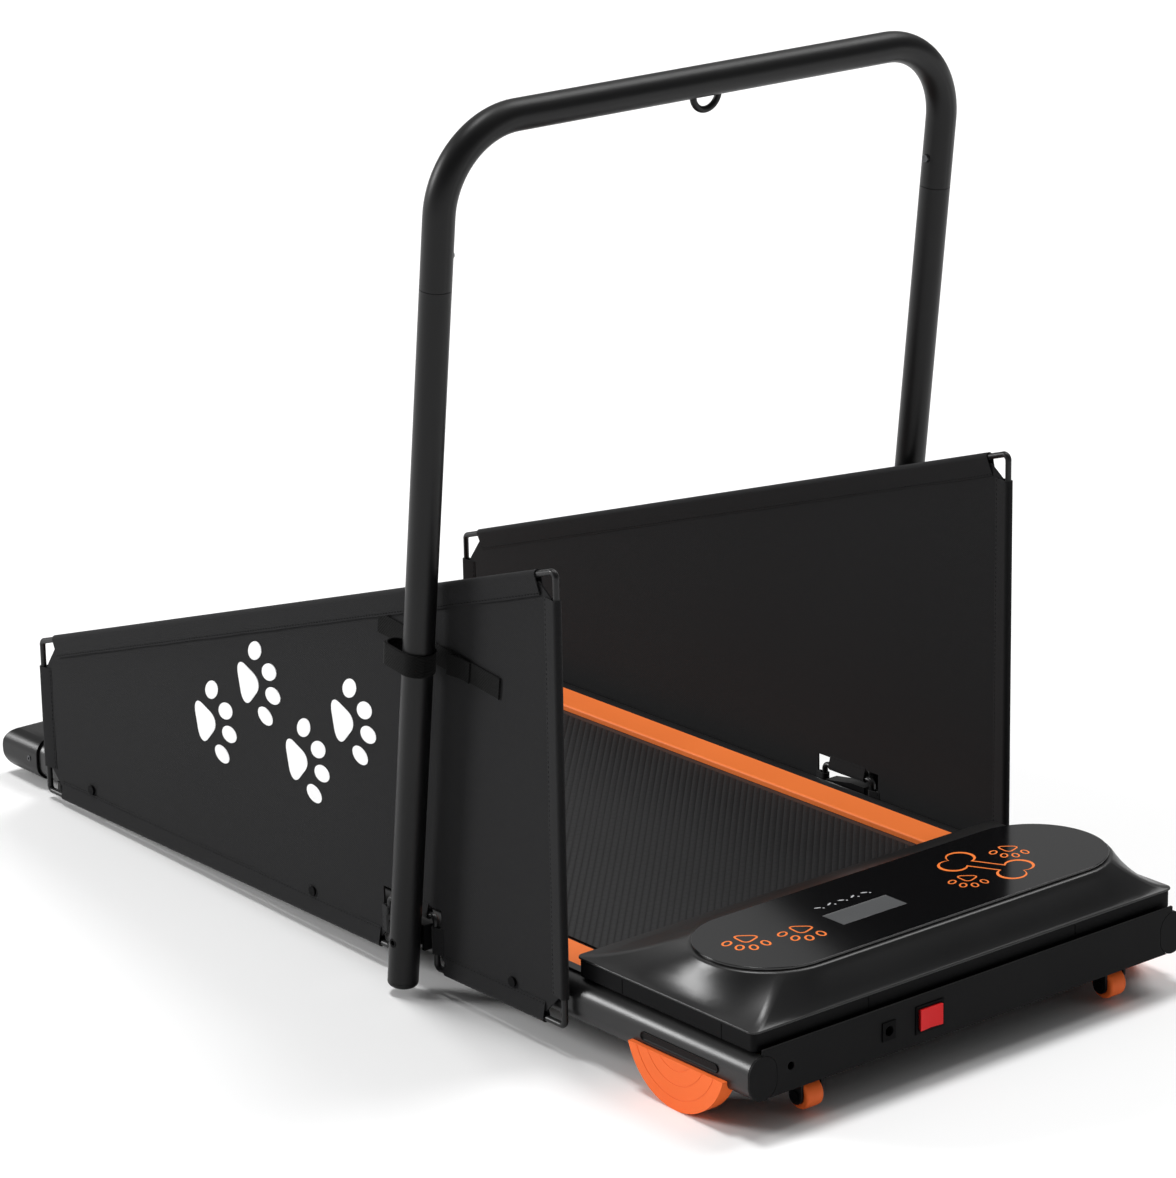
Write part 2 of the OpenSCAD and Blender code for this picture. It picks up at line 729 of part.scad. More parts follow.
// Square power inlet with a round socket and its centre pin
inlet_depth = 14;
inlet_floor = 3;
inlet_pin_r = 1;
inlet_pin_set = 6;
module power_inlet() stand() color("#101010") at_inlet() {
    difference() {
        union() {
            along_y(beam_y - bezel_t, beam_y - seat)
                square([inlet_w + bezel_rim, inlet_h + bezel_rim], center = true);
            along_y(beam_y - seat, beam_y + inlet_depth) square([inlet_w, inlet_h], center = true);
        }
        along_y(beam_y - bezel_t - over, beam_y + inlet_depth - inlet_floor) circle(d = inlet_bore_d);
    }
    along_y(beam_y + inlet_pin_set, beam_y + inlet_depth - inlet_floor) circle(inlet_pin_r);
}

// Half-moon foot that the treadmill rocks on, saddled on the rail's lower outer side
module rocker_foot() {
    outer = rail_out + foot_t / 3;
    color("#f27538") difference() {
        along_x(outer - foot_t, outer) intersection() {
            translate([foot_y, foot_r]) circle(foot_r);
            translate([foot_y - foot_r, 0]) square([2 * foot_r, foot_h]);
        }
        along_y(foot_y - foot_r - over, foot_y + foot_r + over) rail_shape(seat);
        for (share = foot_groove_shares) along_x(outer - foot_groove / 3, outer + over) translate([foot_y, foot_r])
            difference() {
                circle(foot_r * share + foot_groove);
                circle(foot_r * share);
            }
    }
}
module rocker_foot_left() stand() left() rocker_foot();
module rocker_foot_right() stand() rocker_foot();
// Inserts that lock the feet, seen in the rails' windows
module foot_inserts() stand() color("#111111") both()
    along_x(rail_out - 2 * rail_wall, rail_out - rail_wall / 4) translate([foot_y, rail_z])
        slot(slot_len - 2 * soft, slot_h - 2 * soft);
// Rubber pads under the rear of the rails, cut level with the floor
module rear_feet() color("#181818") intersection() {
    stand() both() difference() {
        translate([rail_x, rear_foot_y, 0]) cylinder(h = rail_ground + rail_w / 6, r = rear_foot_d / 2);
        along_y(rear_foot_y - rear_foot_d, rear_foot_y + rear_foot_d) rail_shape(seat);
    }
    translate([-rail_out, 0, 0]) cube([rail_span, deck_len, rail_top]);
}

// Caster fork: a plate under the beam with two round-ended cheeks
fork_gap = 1;
fork_half = caster_w / 2 + fork_gap;
module caster_fork() translate([caster_span / 2, 0, 0]) color("#151515") {
    top = beam_ground - seat;
    box([-fork_half - cheek_t, caster_y - caster_d / 2, top - sheet_t],
        [fork_half + cheek_t, caster_y + caster_d / 2, top]);
    for (x = [-fork_half - cheek_t, fork_half]) along_x(x, x + cheek_t) difference() {
        union() {
            translate([caster_y, caster_z]) circle(cheek_r);
            translate([caster_y - cheek_r, caster_z]) square([2 * cheek_r, top - sheet_t - caster_z]);
        }
        translate([caster_y, caster_z]) circle(axle_r + run);
    }
}
module caster_fork_left() stand() left() caster_fork();
module caster_fork_right() stand() caster_fork();
module caster_axles() stand() color("#7a7c7f") both() translate([caster_span / 2, caster_y, caster_z]) {
    end = fork_half + cheek_t + seat;
    bar_x(-end, end, axle_r);
    for (x = [-end - cheek_t / 2, end]) bar_x(x, x + cheek_t / 2, 2 * axle_r);
}
// Wheel with rounded shoulders, a sunk hub and a bore
shoulder = 3;
module caster_wheel() translate([caster_span / 2, caster_y, caster_z]) rotate([0, 90, 0]) color("#f27538")
    rotate_extrude() difference() {
        union() {
            translate([0, -caster_w / 2]) square([caster_d / 2 - shoulder, caster_w]);
            translate([0, shoulder - caster_w / 2]) square([caster_d / 2, caster_w - 2 * shoulder]);
            for (end = [-1, 1]) translate([caster_d / 2 - shoulder, end * (caster_w / 2 - shoulder)]) circle(shoulder);
        }
        translate([-over, -caster_w]) square([axle_r + run + over, 2 * caster_w]);
        for (end = [-1, 1]) translate([axle_r + shoulder, end * caster_w / 2 - shoulder / 2])
            square([caster_d / 2 - axle_r - 3 * shoulder, shoulder]);
    }
module caster_wheel_left() stand() left() caster_wheel();
module caster_wheel_right() stand() caster_wheel();

// Geometry of a closed path: edge directions, inward normals and turns at its corners
function at(list, i) = list[(i + len(list)) % len(list)];
function edge_dir(path, i) = let (v = at(path, i + 1) - at(path, i)) v / norm(v);
function edge_normal(path, i) = let (d = edge_dir(path, i)) [-d.y, d.x];
function turn_at(path, i) = let (a = edge_dir(path, i - 1), b = edge_dir(path, i)) atan2(cross(a, b), a * b);
function trim_at(path, i, bend) = bend * tan(abs(turn_at(path, i)) / 2);

// Round bar bent along a closed path, drawn flat. The bends swell a hair, so the straight stretches end inside them
bend_swell = 0.1;
module bent_rod(path, r, bend) for (i = [0 : len(path) - 1]) {
    d = edge_dir(path, i);
    start = path[i] + d * trim_at(path, i, bend);
    end = at(path, i + 1) - d * trim_at(path, i + 1, bend);
    turn = turn_at(path, i);
    inner = edge_normal(path, i) * sign(turn);
    translate(start - d * over) rotate([0, 90, atan2(d.y, d.x)]) cylinder(h = norm(end - start) + 2 * over, r = r);
    translate(start + inner * bend) rotate(atan2(-inner.y, -inner.x) - (turn > 0 ? turn : 0))
        rotate_extrude(angle = abs(turn)) translate([bend, 0]) circle(r + bend_swell);
}
module flat_on_panel() translate([panel_x, 0, 0]) rotate([90, 0, 90]) children();
module panel_rod() color("#262627") flat_on_panel() bent_rod(panel_path, rod_d / 2, rod_bend);
module panel_rod_left() stand() left() panel_rod();
module panel_rod_right() stand() panel_rod();

// Cloth: a plate cut off at the outward corners and cut out at the notch's upper ones, with a sleeve round each
// straight stretch of the rod
function bare_at(i) = i < 1 || i > 4 ? corner_bare : turn_at(panel_path, i) > 0 ? notch_foot_bare : notch_top_bare;
function cloth_corner(i) =
    let (p = panel_path[i], n0 = edge_normal(panel_path, i - 1), n1 = edge_normal(panel_path, i))
    turn_at(panel_path, i) > 0
    ? [
        p - edge_dir(panel_path, i - 1) * bare_at(i) + n0 * cloth_in,
        p + edge_dir(panel_path, i) * bare_at(i) + n1 * cloth_in
    ]
    : [p + (n0 + n1) * cloth_in / (1 + n0 * n1)];
module panel_cloth() color("#2b2b2c") difference() {
    flat_on_panel() {
        translate([0, 0, -cloth_t / 2]) linear_extrude(cloth_t)
            polygon([for (i = [0 : len(panel_path) - 1]) each cloth_corner(i)]);
        for (i = [0 : len(panel_path) - 1]) {
            d = edge_dir(panel_path, i);
            start = panel_path[i] + d * bare_at(i);
            end = at(panel_path, i + 1) - d * bare_at((i + 1) % len(panel_path));
            translate(start) rotate([0, 90, atan2(d.y, d.x)]) difference() {
                cylinder(h = norm(end - start), r = sleeve_r);
                translate([0, 0, -over]) cylinder(h = norm(end - start) + 2 * over, r = rod_d / 2 + soft);
            }
        }
    }
    at_screws() bar_x(panel_x - sleeve_r, panel_x + sleeve_r, screw_r + seat);
    flat_on_panel() for (i = [2, 3]) translate([panel_path[i].x, panel_path[i].y, -sleeve_r])
        linear_extrude(2 * sleeve_r) square(2 * notch_top_bare, center = true);
}
module panel_cloth_left() stand() left() panel_cloth();
module panel_cloth_right() stand() panel_cloth();
// Spacers between the rails and the cloth, and the screws through them
module panel_spacers() stand() color("#1d1d1e") both() difference() {
    at_screws() bar_x(rail_x, panel_x - cloth_t / 2 - seat / 2, spacer_r);
    along_y(panel_front, panel_front + panel_len) rail_shape(seat);
    at_screws() bar_x(rail_x - over, panel_x, screw_r + seat);
}
module panel_screws() stand() color("#0e0e0e") both() at_screws() {
    face = panel_x + cloth_t / 2 + seat / 2;
    bar_x(rail_x + rail_wall, face, screw_r);
    bar_x(face, face + screw_head_t, screw_head_r);
}

// Channel bracket on the rail: a plate with a sloping rim, and the boss that holds the pivot pin
function bracket_outline(inset, low) = [
    [pivot_y - bracket_ahead + inset, low],
    [pivot_y + bracket_behind - inset, low],
    [pivot_y + bracket_behind - inset, pivot_ground + bracket_above - bracket_fall - inset],
    [pivot_y + boss_r, pivot_ground + bracket_above - inset],
    [pivot_y - bracket_ahead + inset, pivot_ground + bracket_above - inset]
];
module post_bracket() {
    low = pivot_ground - bracket_below;
    from = rail_out + seat;
    to = post_x - post_r - 2 * seat;
    color("#191919") difference() {
        union() {
            along_x(from, from + bracket_t) polygon(bracket_outline(0, low));
            along_x(from, to) difference() {
                polygon(bracket_outline(0, low));
                polygon(bracket_outline(bracket_t, low - over));
            }
            translate([0, pivot_y, pivot_ground]) bar_x(from, to, boss_r);
        }
        translate([0, pivot_y, pivot_ground]) bar_x(from - over, to + over, pivot_r + run);
    }
}
module post_bracket_left() stand() left() post_bracket();
module post_bracket_right() stand() post_bracket();
// Pivot pins with a hexagon socket in the outer end
module pivot_pins() stand() color("#0c0c0c") both() translate([0, pivot_y, pivot_ground]) difference() {
    bar_x(rail_out + 2 * seat, post_x + post_r - seat, pivot_r);
    translate([post_x + post_r - pivot_r, 0, 0]) rotate([0, 90, 0]) cylinder(h = 2 * pivot_r, r = pivot_r * 0.6, $fn = 6);
}

// The gantry's own frame: the pivot is its origin and the posts stand along Z
module on_gantry() translate([0, pivot_y, pivot_ground]) rotate([lean, 0, 0]) children();
// Lower post with a drawn-in spigot for the bow
module lower_post() color("#2a2a2b") on_gantry() difference() {
    translate([post_x, 0, 0]) rotate_extrude() polygon([
        [pipe_r, -post_drop],
        [post_r, -post_drop],
        [post_r, seam_rise],
        [spigot_r, seam_rise],
        [spigot_r, seam_rise + spigot_up],
        [spigot_r - post_wall, seam_rise + spigot_up],
        [spigot_r - post_wall, seam_rise - spigot_down],
        [pipe_r, seam_rise - spigot_down - post_wall]
    ]);
    bar_x(post_x - post_r - over, post_x + post_r + over, pivot_r + run);
    translate([0, 0, button_rise]) bar_x(post_x - post_r, post_x, button_d / 2 + 2 * run);
}
module lower_post_left() stand() left() lower_post();
module lower_post_right() stand() lower_post();
// Round-edged plugs in the lower ends of the posts
module post_plugs() stand() color("#141414") on_gantry() both() translate([post_x, 0, -post_drop]) rotate_extrude() {
    translate([0, -plug_rim]) square([post_r - plug_edge, plug_rim]);
    translate([0, plug_edge - plug_rim]) square([post_r, plug_rim - plug_edge - seat]);
    translate([post_r - plug_edge, plug_edge - plug_rim]) intersection() {
        circle(plug_edge);
        translate([0, -plug_edge]) square(plug_edge);
    }
    translate([0, -seat]) square([pipe_r - seat, plug_depth]);
}
// Upper bow of the gantry: two legs, two bends and the crossbar
module pipe(h) difference() {
    cylinder(h = h, r = post_r);
    translate([0, 0, -over]) cylinder(h = h + 2 * over, r = pipe_r);
}
module gantry_bow() stand() color("#2a2a2b") on_gantry() {
    straight = post_x - bend_r;
    low = seam_rise + 2 * seat;
    both() {
        difference() {
            translate([post_x, 0, low]) pipe(gantry_rise - bend_r - low);
            translate([0, 0, button_rise]) bar_x(post_x - post_r - over, post_x, button_d / 2 + soft);
        }
        translate([straight, 0, gantry_rise - bend_r]) rotate([90, 0, 0]) rotate_extrude(angle = 90)
            translate([bend_r, 0]) difference() {
                circle(post_r);
                circle(pipe_r);
            }
    }
    translate([-straight, 0, gantry_rise]) rotate([0, 90, 0]) pipe(2 * straight);
}
// Ring welded under the crossbar
module leash_ring() stand() color("#2a2a2b") on_gantry() difference() {
    translate([0, 0, gantry_rise - ring_drop]) rotate([90, 0, 0]) rotate_extrude() translate([ring_r, 0])
        circle(d = ring_rod_d);
    translate([0, 0, gantry_rise]) bar_x(-2 * ring_r, 2 * ring_r, post_r + seat / 2);
}
// Snap button on its spring leaf, on the inner side of each post
button_flange = 1.5;
button_flange_r = button_d / 2 + button_flange;
button_back = sqrt(pow(spigot_r - post_wall, 2) - pow(button_flange_r, 2)) - seat - button_flange;
module snap_button() color("#38393b") on_gantry() translate([post_x, 0, button_rise]) {
    bar_x(-post_r - button_proud, -button_back, button_d / 2);
    bar_x(-button_back - button_flange, -button_back, button_flange_r);
    translate([-button_back, -button_d / 3, -leaf_len]) cube([leaf_t, button_d * 2 / 3, leaf_len]);
}
module snap_button_left() stand() left() snap_button();
module snap_button_right() stand() snap_button();
// Fixed leg and bend of each button's spring
module snap_springs() stand() color("#8e9093") on_gantry() both() translate([post_x, 0, button_rise - leaf_len]) {
    reach = spigot_r - post_wall - leaf_t;
    width = button_d * 2 / 3;
    translate([reach - leaf_t, -width / 2, -soft - leaf_t]) cube([leaf_t, width, leaf_len]);
    translate([-button_back, -width / 2, -soft - leaf_t]) cube([button_back + reach, width, leaf_t]);
}
// Strap sewn to the cloth, with the two tabs that run out to the loop, and the loop round the post
module strap_bands() stand() color("#101010") on_gantry() both() translate([0, 0, strap_rise - strap_w / 2]) {
    face = panel_x + cloth_t / 2 + seat / 2;
    box([face, -strap_len / 2, 0], [face + strap_t, strap_len / 2, strap_w]);
    for (y = [-strap_r - strap_tab, strap_r]) box([face + strap_t, y, 0], [post_x - strap_r - soft, y + strap_tab, strap_w]);
}
module strap_loops() stand() color("#101010") on_gantry() both()
    translate([post_x, strap_slack / 2, strap_rise - strap_w / 2]) linear_extrude(strap_w) rotate(90) difference() {
        slot(2 * strap_r + strap_slack, 2 * strap_r);
        slot(2 * strap_r + strap_slack - 2 * strap_t, 2 * strap_r - 2 * strap_t);
    }

rail_left();
rail_right();
rail_front_plugs();
front_beam();
cross_members();
rear_cap_left();
rear_cap_right();
deck_board();
landing_strip_left();
landing_strip_right();
running_belt();
front_roller();
drive_pulley();
front_bearing_blocks();
rear_roller();
rear_roller_shaft();
rear_shaft_blocks();
motor_tray();
motor_mount();
motor();
motor_rotor();
drive_belt();
motor_controller();
motor_cover();
console_overlay();
display_window();
display_board();
switch_bezel();
switch_rocker();
power_inlet();
rocker_foot_left();
rocker_foot_right();
foot_inserts();
rear_feet();
caster_fork_left();
caster_fork_right();
caster_axles();
caster_wheel_left();
caster_wheel_right();
panel_rod_left();
panel_rod_right();
panel_cloth_left();
panel_cloth_right();
panel_spacers();
panel_screws();
post_bracket_left();
post_bracket_right();
pivot_pins();
lower_post_left();
lower_post_right();
post_plugs();
gantry_bow();
leash_ring();
snap_button_left();
snap_button_right();
snap_springs();
strap_bands();
strap_loops();
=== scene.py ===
import json
import math

import bmesh
import bpy
from mathutils import Matrix, Vector


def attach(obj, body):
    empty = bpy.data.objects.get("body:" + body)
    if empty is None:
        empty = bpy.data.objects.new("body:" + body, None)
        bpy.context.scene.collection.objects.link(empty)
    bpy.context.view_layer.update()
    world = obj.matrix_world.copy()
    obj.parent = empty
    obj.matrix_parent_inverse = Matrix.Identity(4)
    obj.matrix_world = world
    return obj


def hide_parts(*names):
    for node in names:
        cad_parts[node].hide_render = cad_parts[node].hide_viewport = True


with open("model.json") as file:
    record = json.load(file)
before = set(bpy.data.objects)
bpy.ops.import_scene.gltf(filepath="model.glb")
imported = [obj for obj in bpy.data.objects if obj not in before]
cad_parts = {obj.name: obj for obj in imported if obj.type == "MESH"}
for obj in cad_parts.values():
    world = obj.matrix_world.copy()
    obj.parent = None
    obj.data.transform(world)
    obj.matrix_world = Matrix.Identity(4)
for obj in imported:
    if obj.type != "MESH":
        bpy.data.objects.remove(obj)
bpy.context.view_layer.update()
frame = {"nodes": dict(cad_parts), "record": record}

NODES = frame["nodes"]
BODY_OF = {node: body for body, nodes in frame["record"]["behaviour"]["bodies"].items() for node in nodes}
SLOT_OF = {part["node"]: part["material_slot"] for part in frame["record"]["subparts"]}
MM = 0.001
scene = bpy.context.scene
scene.view_settings.view_transform = "Standard"
# The pieces are drawn square to the deck, which slopes to the rear about the half-moon feet
INCLINE = 1.38
FOOT_MIDDLE = Vector((0, -0.542, 0.073))
STAND_SHIFT = Vector((0, 0.000579, 0))
STAND = (Matrix.Translation(FOOT_MIDDLE + STAND_SHIFT) @ Matrix.Rotation(math.radians(-INCLINE), 4, "X")
         @ Matrix.Translation(-FOOT_MIDDLE))
SQUARE = STAND.inverted()

# Camera: its place and reach in metres, its turns in degrees, its lens and sensor in millimetres
CAMERA_PLACE = (-2.91806, -3.594256, 1.876459)
CAMERA_TURN = -39.4568
CAMERA_PITCH = 18.5478
CAMERA_ROLL = -0.1472
CAMERA_LENS = 140.44
CAMERA_SENSOR = 36
CAMERA_REACH = 200


def make_camera():
    turn, pitch, roll = (math.radians(a) for a in (CAMERA_TURN, CAMERA_PITCH, CAMERA_ROLL))
    back = Vector((math.sin(turn) * math.cos(pitch), -math.cos(turn) * math.cos(pitch), math.sin(pitch)))
    right = (-back).cross(Vector((0, 0, 1))).normalized()
    up = right.cross(-back)
    across = right * math.cos(roll) + up * math.sin(roll)
    upward = up * math.cos(roll) - right * math.sin(roll)
    data = bpy.data.cameras.new("photo_camera")
    data.lens = CAMERA_LENS
    data.sensor_width = CAMERA_SENSOR
    data.clip_end = CAMERA_REACH
    camera = bpy.data.objects.new("photo_camera", data)
    scene.collection.objects.link(camera)
    turned = Matrix((across, upward, back)).transposed().to_4x4()
    camera.matrix_world = Matrix.Translation(CAMERA_PLACE) @ turned
    scene.camera = camera


make_camera()

# Studio: a dome that is brighter behind the treadmill, four broad lights and a white floor.
# The dome goes from the first level to the second as its direction along Y goes between the two turns.
DOME_TURN = (-0.3, 0.8)
DOME_LEVELS = (0.11, 0.42)
# Name, direction in which the light falls, level, and spread in degrees
BROAD_LIGHTS = [
    ("top_light", (0.04, -0.22, -0.97), 1.55, 14),
    ("side_light", (0.60, -0.74, -0.32), 2.05, 18),
    ("bar_light", (-0.58, -0.08, -0.81), 1.25, 30),
    ("front_fill", (-0.45, 0.42, -0.79), 0.18, 70),
]
FLOOR_SIZE, FLOOR_WHITE = 120, 0.96


def make_dome():
    world = bpy.data.worlds.new("studio_dome")
    scene.world = world
    world.use_nodes = True
    tree = world.node_tree
    sky = tree.nodes["Background"]
    sky.inputs["Color"].default_value = (1, 1, 1, 1)
    parts = tree.nodes.new("ShaderNodeSeparateXYZ")
    tree.links.new(tree.nodes.new("ShaderNodeTexCoord").outputs["Generated"], parts.inputs[0])
    level = tree.nodes.new("ShaderNodeMapRange")
    level.interpolation_type = "SMOOTHSTEP"
    for socket, value in zip(("From Min", "From Max", "To Min", "To Max"), (*DOME_TURN, *DOME_LEVELS)):
        level.inputs[socket].default_value = value
    tree.links.new(parts.outputs["Y"], level.inputs["Value"])
    tree.links.new(level.outputs["Result"], sky.inputs["Strength"])


def make_lights():
    for name, falls, level, spread in BROAD_LIGHTS:
        data = bpy.data.lights.new(name, "SUN")
        data.energy = level
        data.angle = math.radians(spread)
        lamp = bpy.data.objects.new(name, data)
        scene.collection.objects.link(lamp)
        lamp.rotation_euler = Vector(falls).to_track_quat("-Z", "Y").to_euler()


def make_floor():
    bpy.ops.object.select_all(action="DESELECT")
    bpy.ops.mesh.primitive_plane_add(size=FLOOR_SIZE)
    floor = bpy.context.object
    floor.name = "floor"
    paper = bpy.data.materials.new("floor_paper")
    paper.use_nodes = True
    shader = paper.node_tree.nodes["Principled BSDF"]
    shader.inputs["Base Color"].default_value = (FLOOR_WHITE, FLOOR_WHITE, FLOOR_WHITE, 1)
    shader.inputs["Roughness"].default_value = 1
    shader.inputs["Specular IOR Level"].default_value = 0
    floor.data.materials.append(paper)


make_dome()
make_lights()
make_floor()


def screen(r, g, b):
    """A colour as it reads on screen, 0 to 255, in Blender's linear values."""
    def one(v):
        v /= 255
        return v / 12.92 if v <= 0.04045 else ((v + 0.055) / 1.055) ** 2.4
    return (one(r), one(g), one(b), 1)


# Effects that the finishes are built from
FLOAT, VECTOR = "NodeSocketFloat", "NodeSocketVector"


def effect(name, sockets_in, sockets_out):
    group = bpy.data.node_groups.new(name, "ShaderNodeTree")
    for socket, kind, value in sockets_in:
        made = group.interface.new_socket(socket, in_out="INPUT", socket_type=kind)
        if value is not None:
            made.default_value = value
    for socket in sockets_out:
        group.interface.new_socket(socket, in_out="OUTPUT", socket_type=FLOAT)
    return group, group.nodes.new("NodeGroupInput"), group.nodes.new("NodeGroupOutput")


def wire(tree, source, target):
    tree.links.new(source, target)


def math_node(tree, operation, a, b=None, c=None):
    node = tree.nodes.new("ShaderNodeMath")
    node.operation = operation
    for socket, value in zip(node.inputs, (a, b, c)):
        if value is None:
            continue
        if isinstance(value, (int, float)):
            socket.default_value = value
        else:
            wire(tree, value, socket)
    return node.outputs[0]


def noise(tree, vector, size, detail=2.0, rough=0.5):
    node = tree.nodes.new("ShaderNodeTexNoise")
    node.inputs["Detail"].default_value = detail
    node.inputs["Roughness"].default_value = rough
    wire(tree, vector, node.inputs["Vector"])
    if isinstance(size, (int, float)):
        node.inputs["Scale"].default_value = size
    else:
        wire(tree, size, node.inputs["Scale"])
    return node.outputs["Fac"]


def object_place(tree):
    return tree.nodes.new("ShaderNodeTexCoord").outputs["Object"]


def make_grain():
    """Fine pebbling of powder coat and moulded plastic, with a slow drift of tone."""
    group, came, goes = effect("fine_grain", [("Grains", FLOAT, 900.0)], ["Height", "Drift"])
    place = object_place(group)
    wire(group, noise(group, place, came.outputs["Grains"]), goes.inputs["Height"])
    wire(group, noise(group, place, size=7.0, detail=3.0), goes.inputs["Drift"])
    return group


def make_handling():
    """Faint streaks and touch marks that change the gloss."""
    group, came, goes = effect("handling_marks", [("Amount", FLOAT, 0.1)], ["Dull"])
    streaks = noise(group, object_place(group), size=13.0, detail=5.0, rough=0.65)
    marks = math_node(group, "SUBTRACT", streaks, 0.5)
    wire(group, math_node(group, "MULTIPLY", marks, came.outputs["Amount"]), goes.inputs["Dull"])
    return group


def make_dust():
    """Thin dust that settles on faces that look up."""
    group, came, goes = effect("settled_dust", [("Amount", FLOAT, 0.1)], ["Mask"])
    normal = group.nodes.new("ShaderNodeNewGeometry").outputs["Normal"]
    parts = group.nodes.new("ShaderNodeSeparateXYZ")
    wire(group, normal, parts.inputs[0])
    up = math_node(group, "POWER", math_node(group, "MAXIMUM", parts.outputs["Z"], 0.0), 3.0)
    patches = noise(group, object_place(group), size=22.0, detail=6.0, rough=0.7)
    mask = math_node(group, "MULTIPLY", up, math_node(group, "MULTIPLY", patches, came.outputs["Amount"]))
    wire(group, mask, goes.inputs["Mask"])
    return group


# How fast the painted edge highlight grows with the bend of the surface
HIGHLIGHT_GAIN = 6.0


def make_painted_edge_highlight():
    """Painted highlight along sharp edges: a lighter colour where the surface bends."""
    group, came, goes = effect("painted_edge_highlight", [("Reach", FLOAT, 0.001), ("Amount", FLOAT, 0.5)], ["Mask"])
    rounded = group.nodes.new("ShaderNodeBevel")
    rounded.samples = 4
    wire(group, came.outputs["Reach"], rounded.inputs["Radius"])
    flat = group.nodes.new("ShaderNodeNewGeometry").outputs["Normal"]
    dot = group.nodes.new("ShaderNodeVectorMath")
    dot.operation = "DOT_PRODUCT"
    wire(group, rounded.outputs["Normal"], dot.inputs[0])
    wire(group, flat, dot.inputs[1])
    bend = math_node(group, "SUBTRACT", 1.0, dot.outputs["Value"])
    highlighted = math_node(group, "MULTIPLY", bend, noise(group, object_place(group), size=60.0, detail=4.0))
    gain = math_node(group, "MULTIPLY", came.outputs["Amount"], HIGHLIGHT_GAIN)
    strong = math_node(group, "MULTIPLY", highlighted, gain)
    wire(group, math_node(group, "MINIMUM", strong, 1.0), goes.inputs["Mask"])
    return group


def make_weave():
    """Plain weave on two axes of the place that is handed in."""
    group, came, goes = effect("plain_weave", [("Place", VECTOR, None), ("Threads", FLOAT, 1400.0)],
                               ["Height", "Tone"])
    parts = group.nodes.new("ShaderNodeSeparateXYZ")
    wire(group, came.outputs["Place"], parts.inputs[0])
    turn = math_node(group, "MULTIPLY", came.outputs["Threads"], math.pi)
    a = math_node(group, "SINE", math_node(group, "MULTIPLY", parts.outputs["Y"], turn))
    b = math_node(group, "SINE", math_node(group, "MULTIPLY", parts.outputs["Z"], turn))
    over_under = math_node(group, "MULTIPLY", a, b)
    wire(group, math_node(group, "MULTIPLY_ADD", over_under, 0.5, 0.5), goes.inputs["Height"])
    wire(group, noise(group, came.outputs["Place"], size=260.0, detail=4.0, rough=0.7), goes.inputs["Tone"])
    return group


# Ribs: their slant over the belt, and the roundness of their backs
RIB_SLANT, RIB_ROUND = 1.05, 0.7
# Breaks in the ribs: how they shift from rib to rib, their pace along it, their softness and their depth
BREAK_SHIFT, BREAK_PACE, BREAK_SOFT, BREAK_DEPTH = 1.9, 0.55, 0.35, 0.22


def make_ribs():
    """Slanting ribs with small breaks across them, as pressed into a running belt."""
    group, came, goes = effect("slant_ribs", [("Place", VECTOR, None), ("Ribs", FLOAT, 100.0)],
                               ["Height", "Groove"])

    def calc(operation, *values):
        return math_node(group, operation, *values)

    def wave(angle, power):
        return calc("POWER", calc("ABSOLUTE", calc("SINE", angle)), power)

    parts = group.nodes.new("ShaderNodeSeparateXYZ")
    wire(group, came.outputs["Place"], parts.inputs[0])
    x, y = parts.outputs["X"], parts.outputs["Y"]
    turn = calc("MULTIPLY", came.outputs["Ribs"], math.pi)
    across = calc("MULTIPLY", calc("SUBTRACT", calc("MULTIPLY", x, RIB_SLANT), y), turn)
    along = calc("MULTIPLY", calc("ADD", x, y), turn)
    rib_count = calc("FLOOR", calc("DIVIDE", across, math.pi))
    step = calc("MULTIPLY_ADD", rib_count, BREAK_SHIFT, calc("MULTIPLY", along, BREAK_PACE))
    broken = calc("MULTIPLY_ADD", wave(step, BREAK_SOFT), BREAK_DEPTH, 1 - BREAK_DEPTH)
    height = calc("MULTIPLY", wave(across, RIB_ROUND), broken)
    wire(group, height, goes.inputs["Height"])
    wire(group, calc("SUBTRACT", 1.0, height), goes.inputs["Groove"])
    return group


GRAIN, HANDLING, DUST, EDGE_HIGHLIGHT = make_grain(), make_handling(), make_dust(), make_painted_edge_highlight()
WEAVE, RIBS = make_weave(), make_ribs()
# The Mix node's colour sockets
MIX_FROM, MIX_TO, MIX_OUT = 6, 7, 2


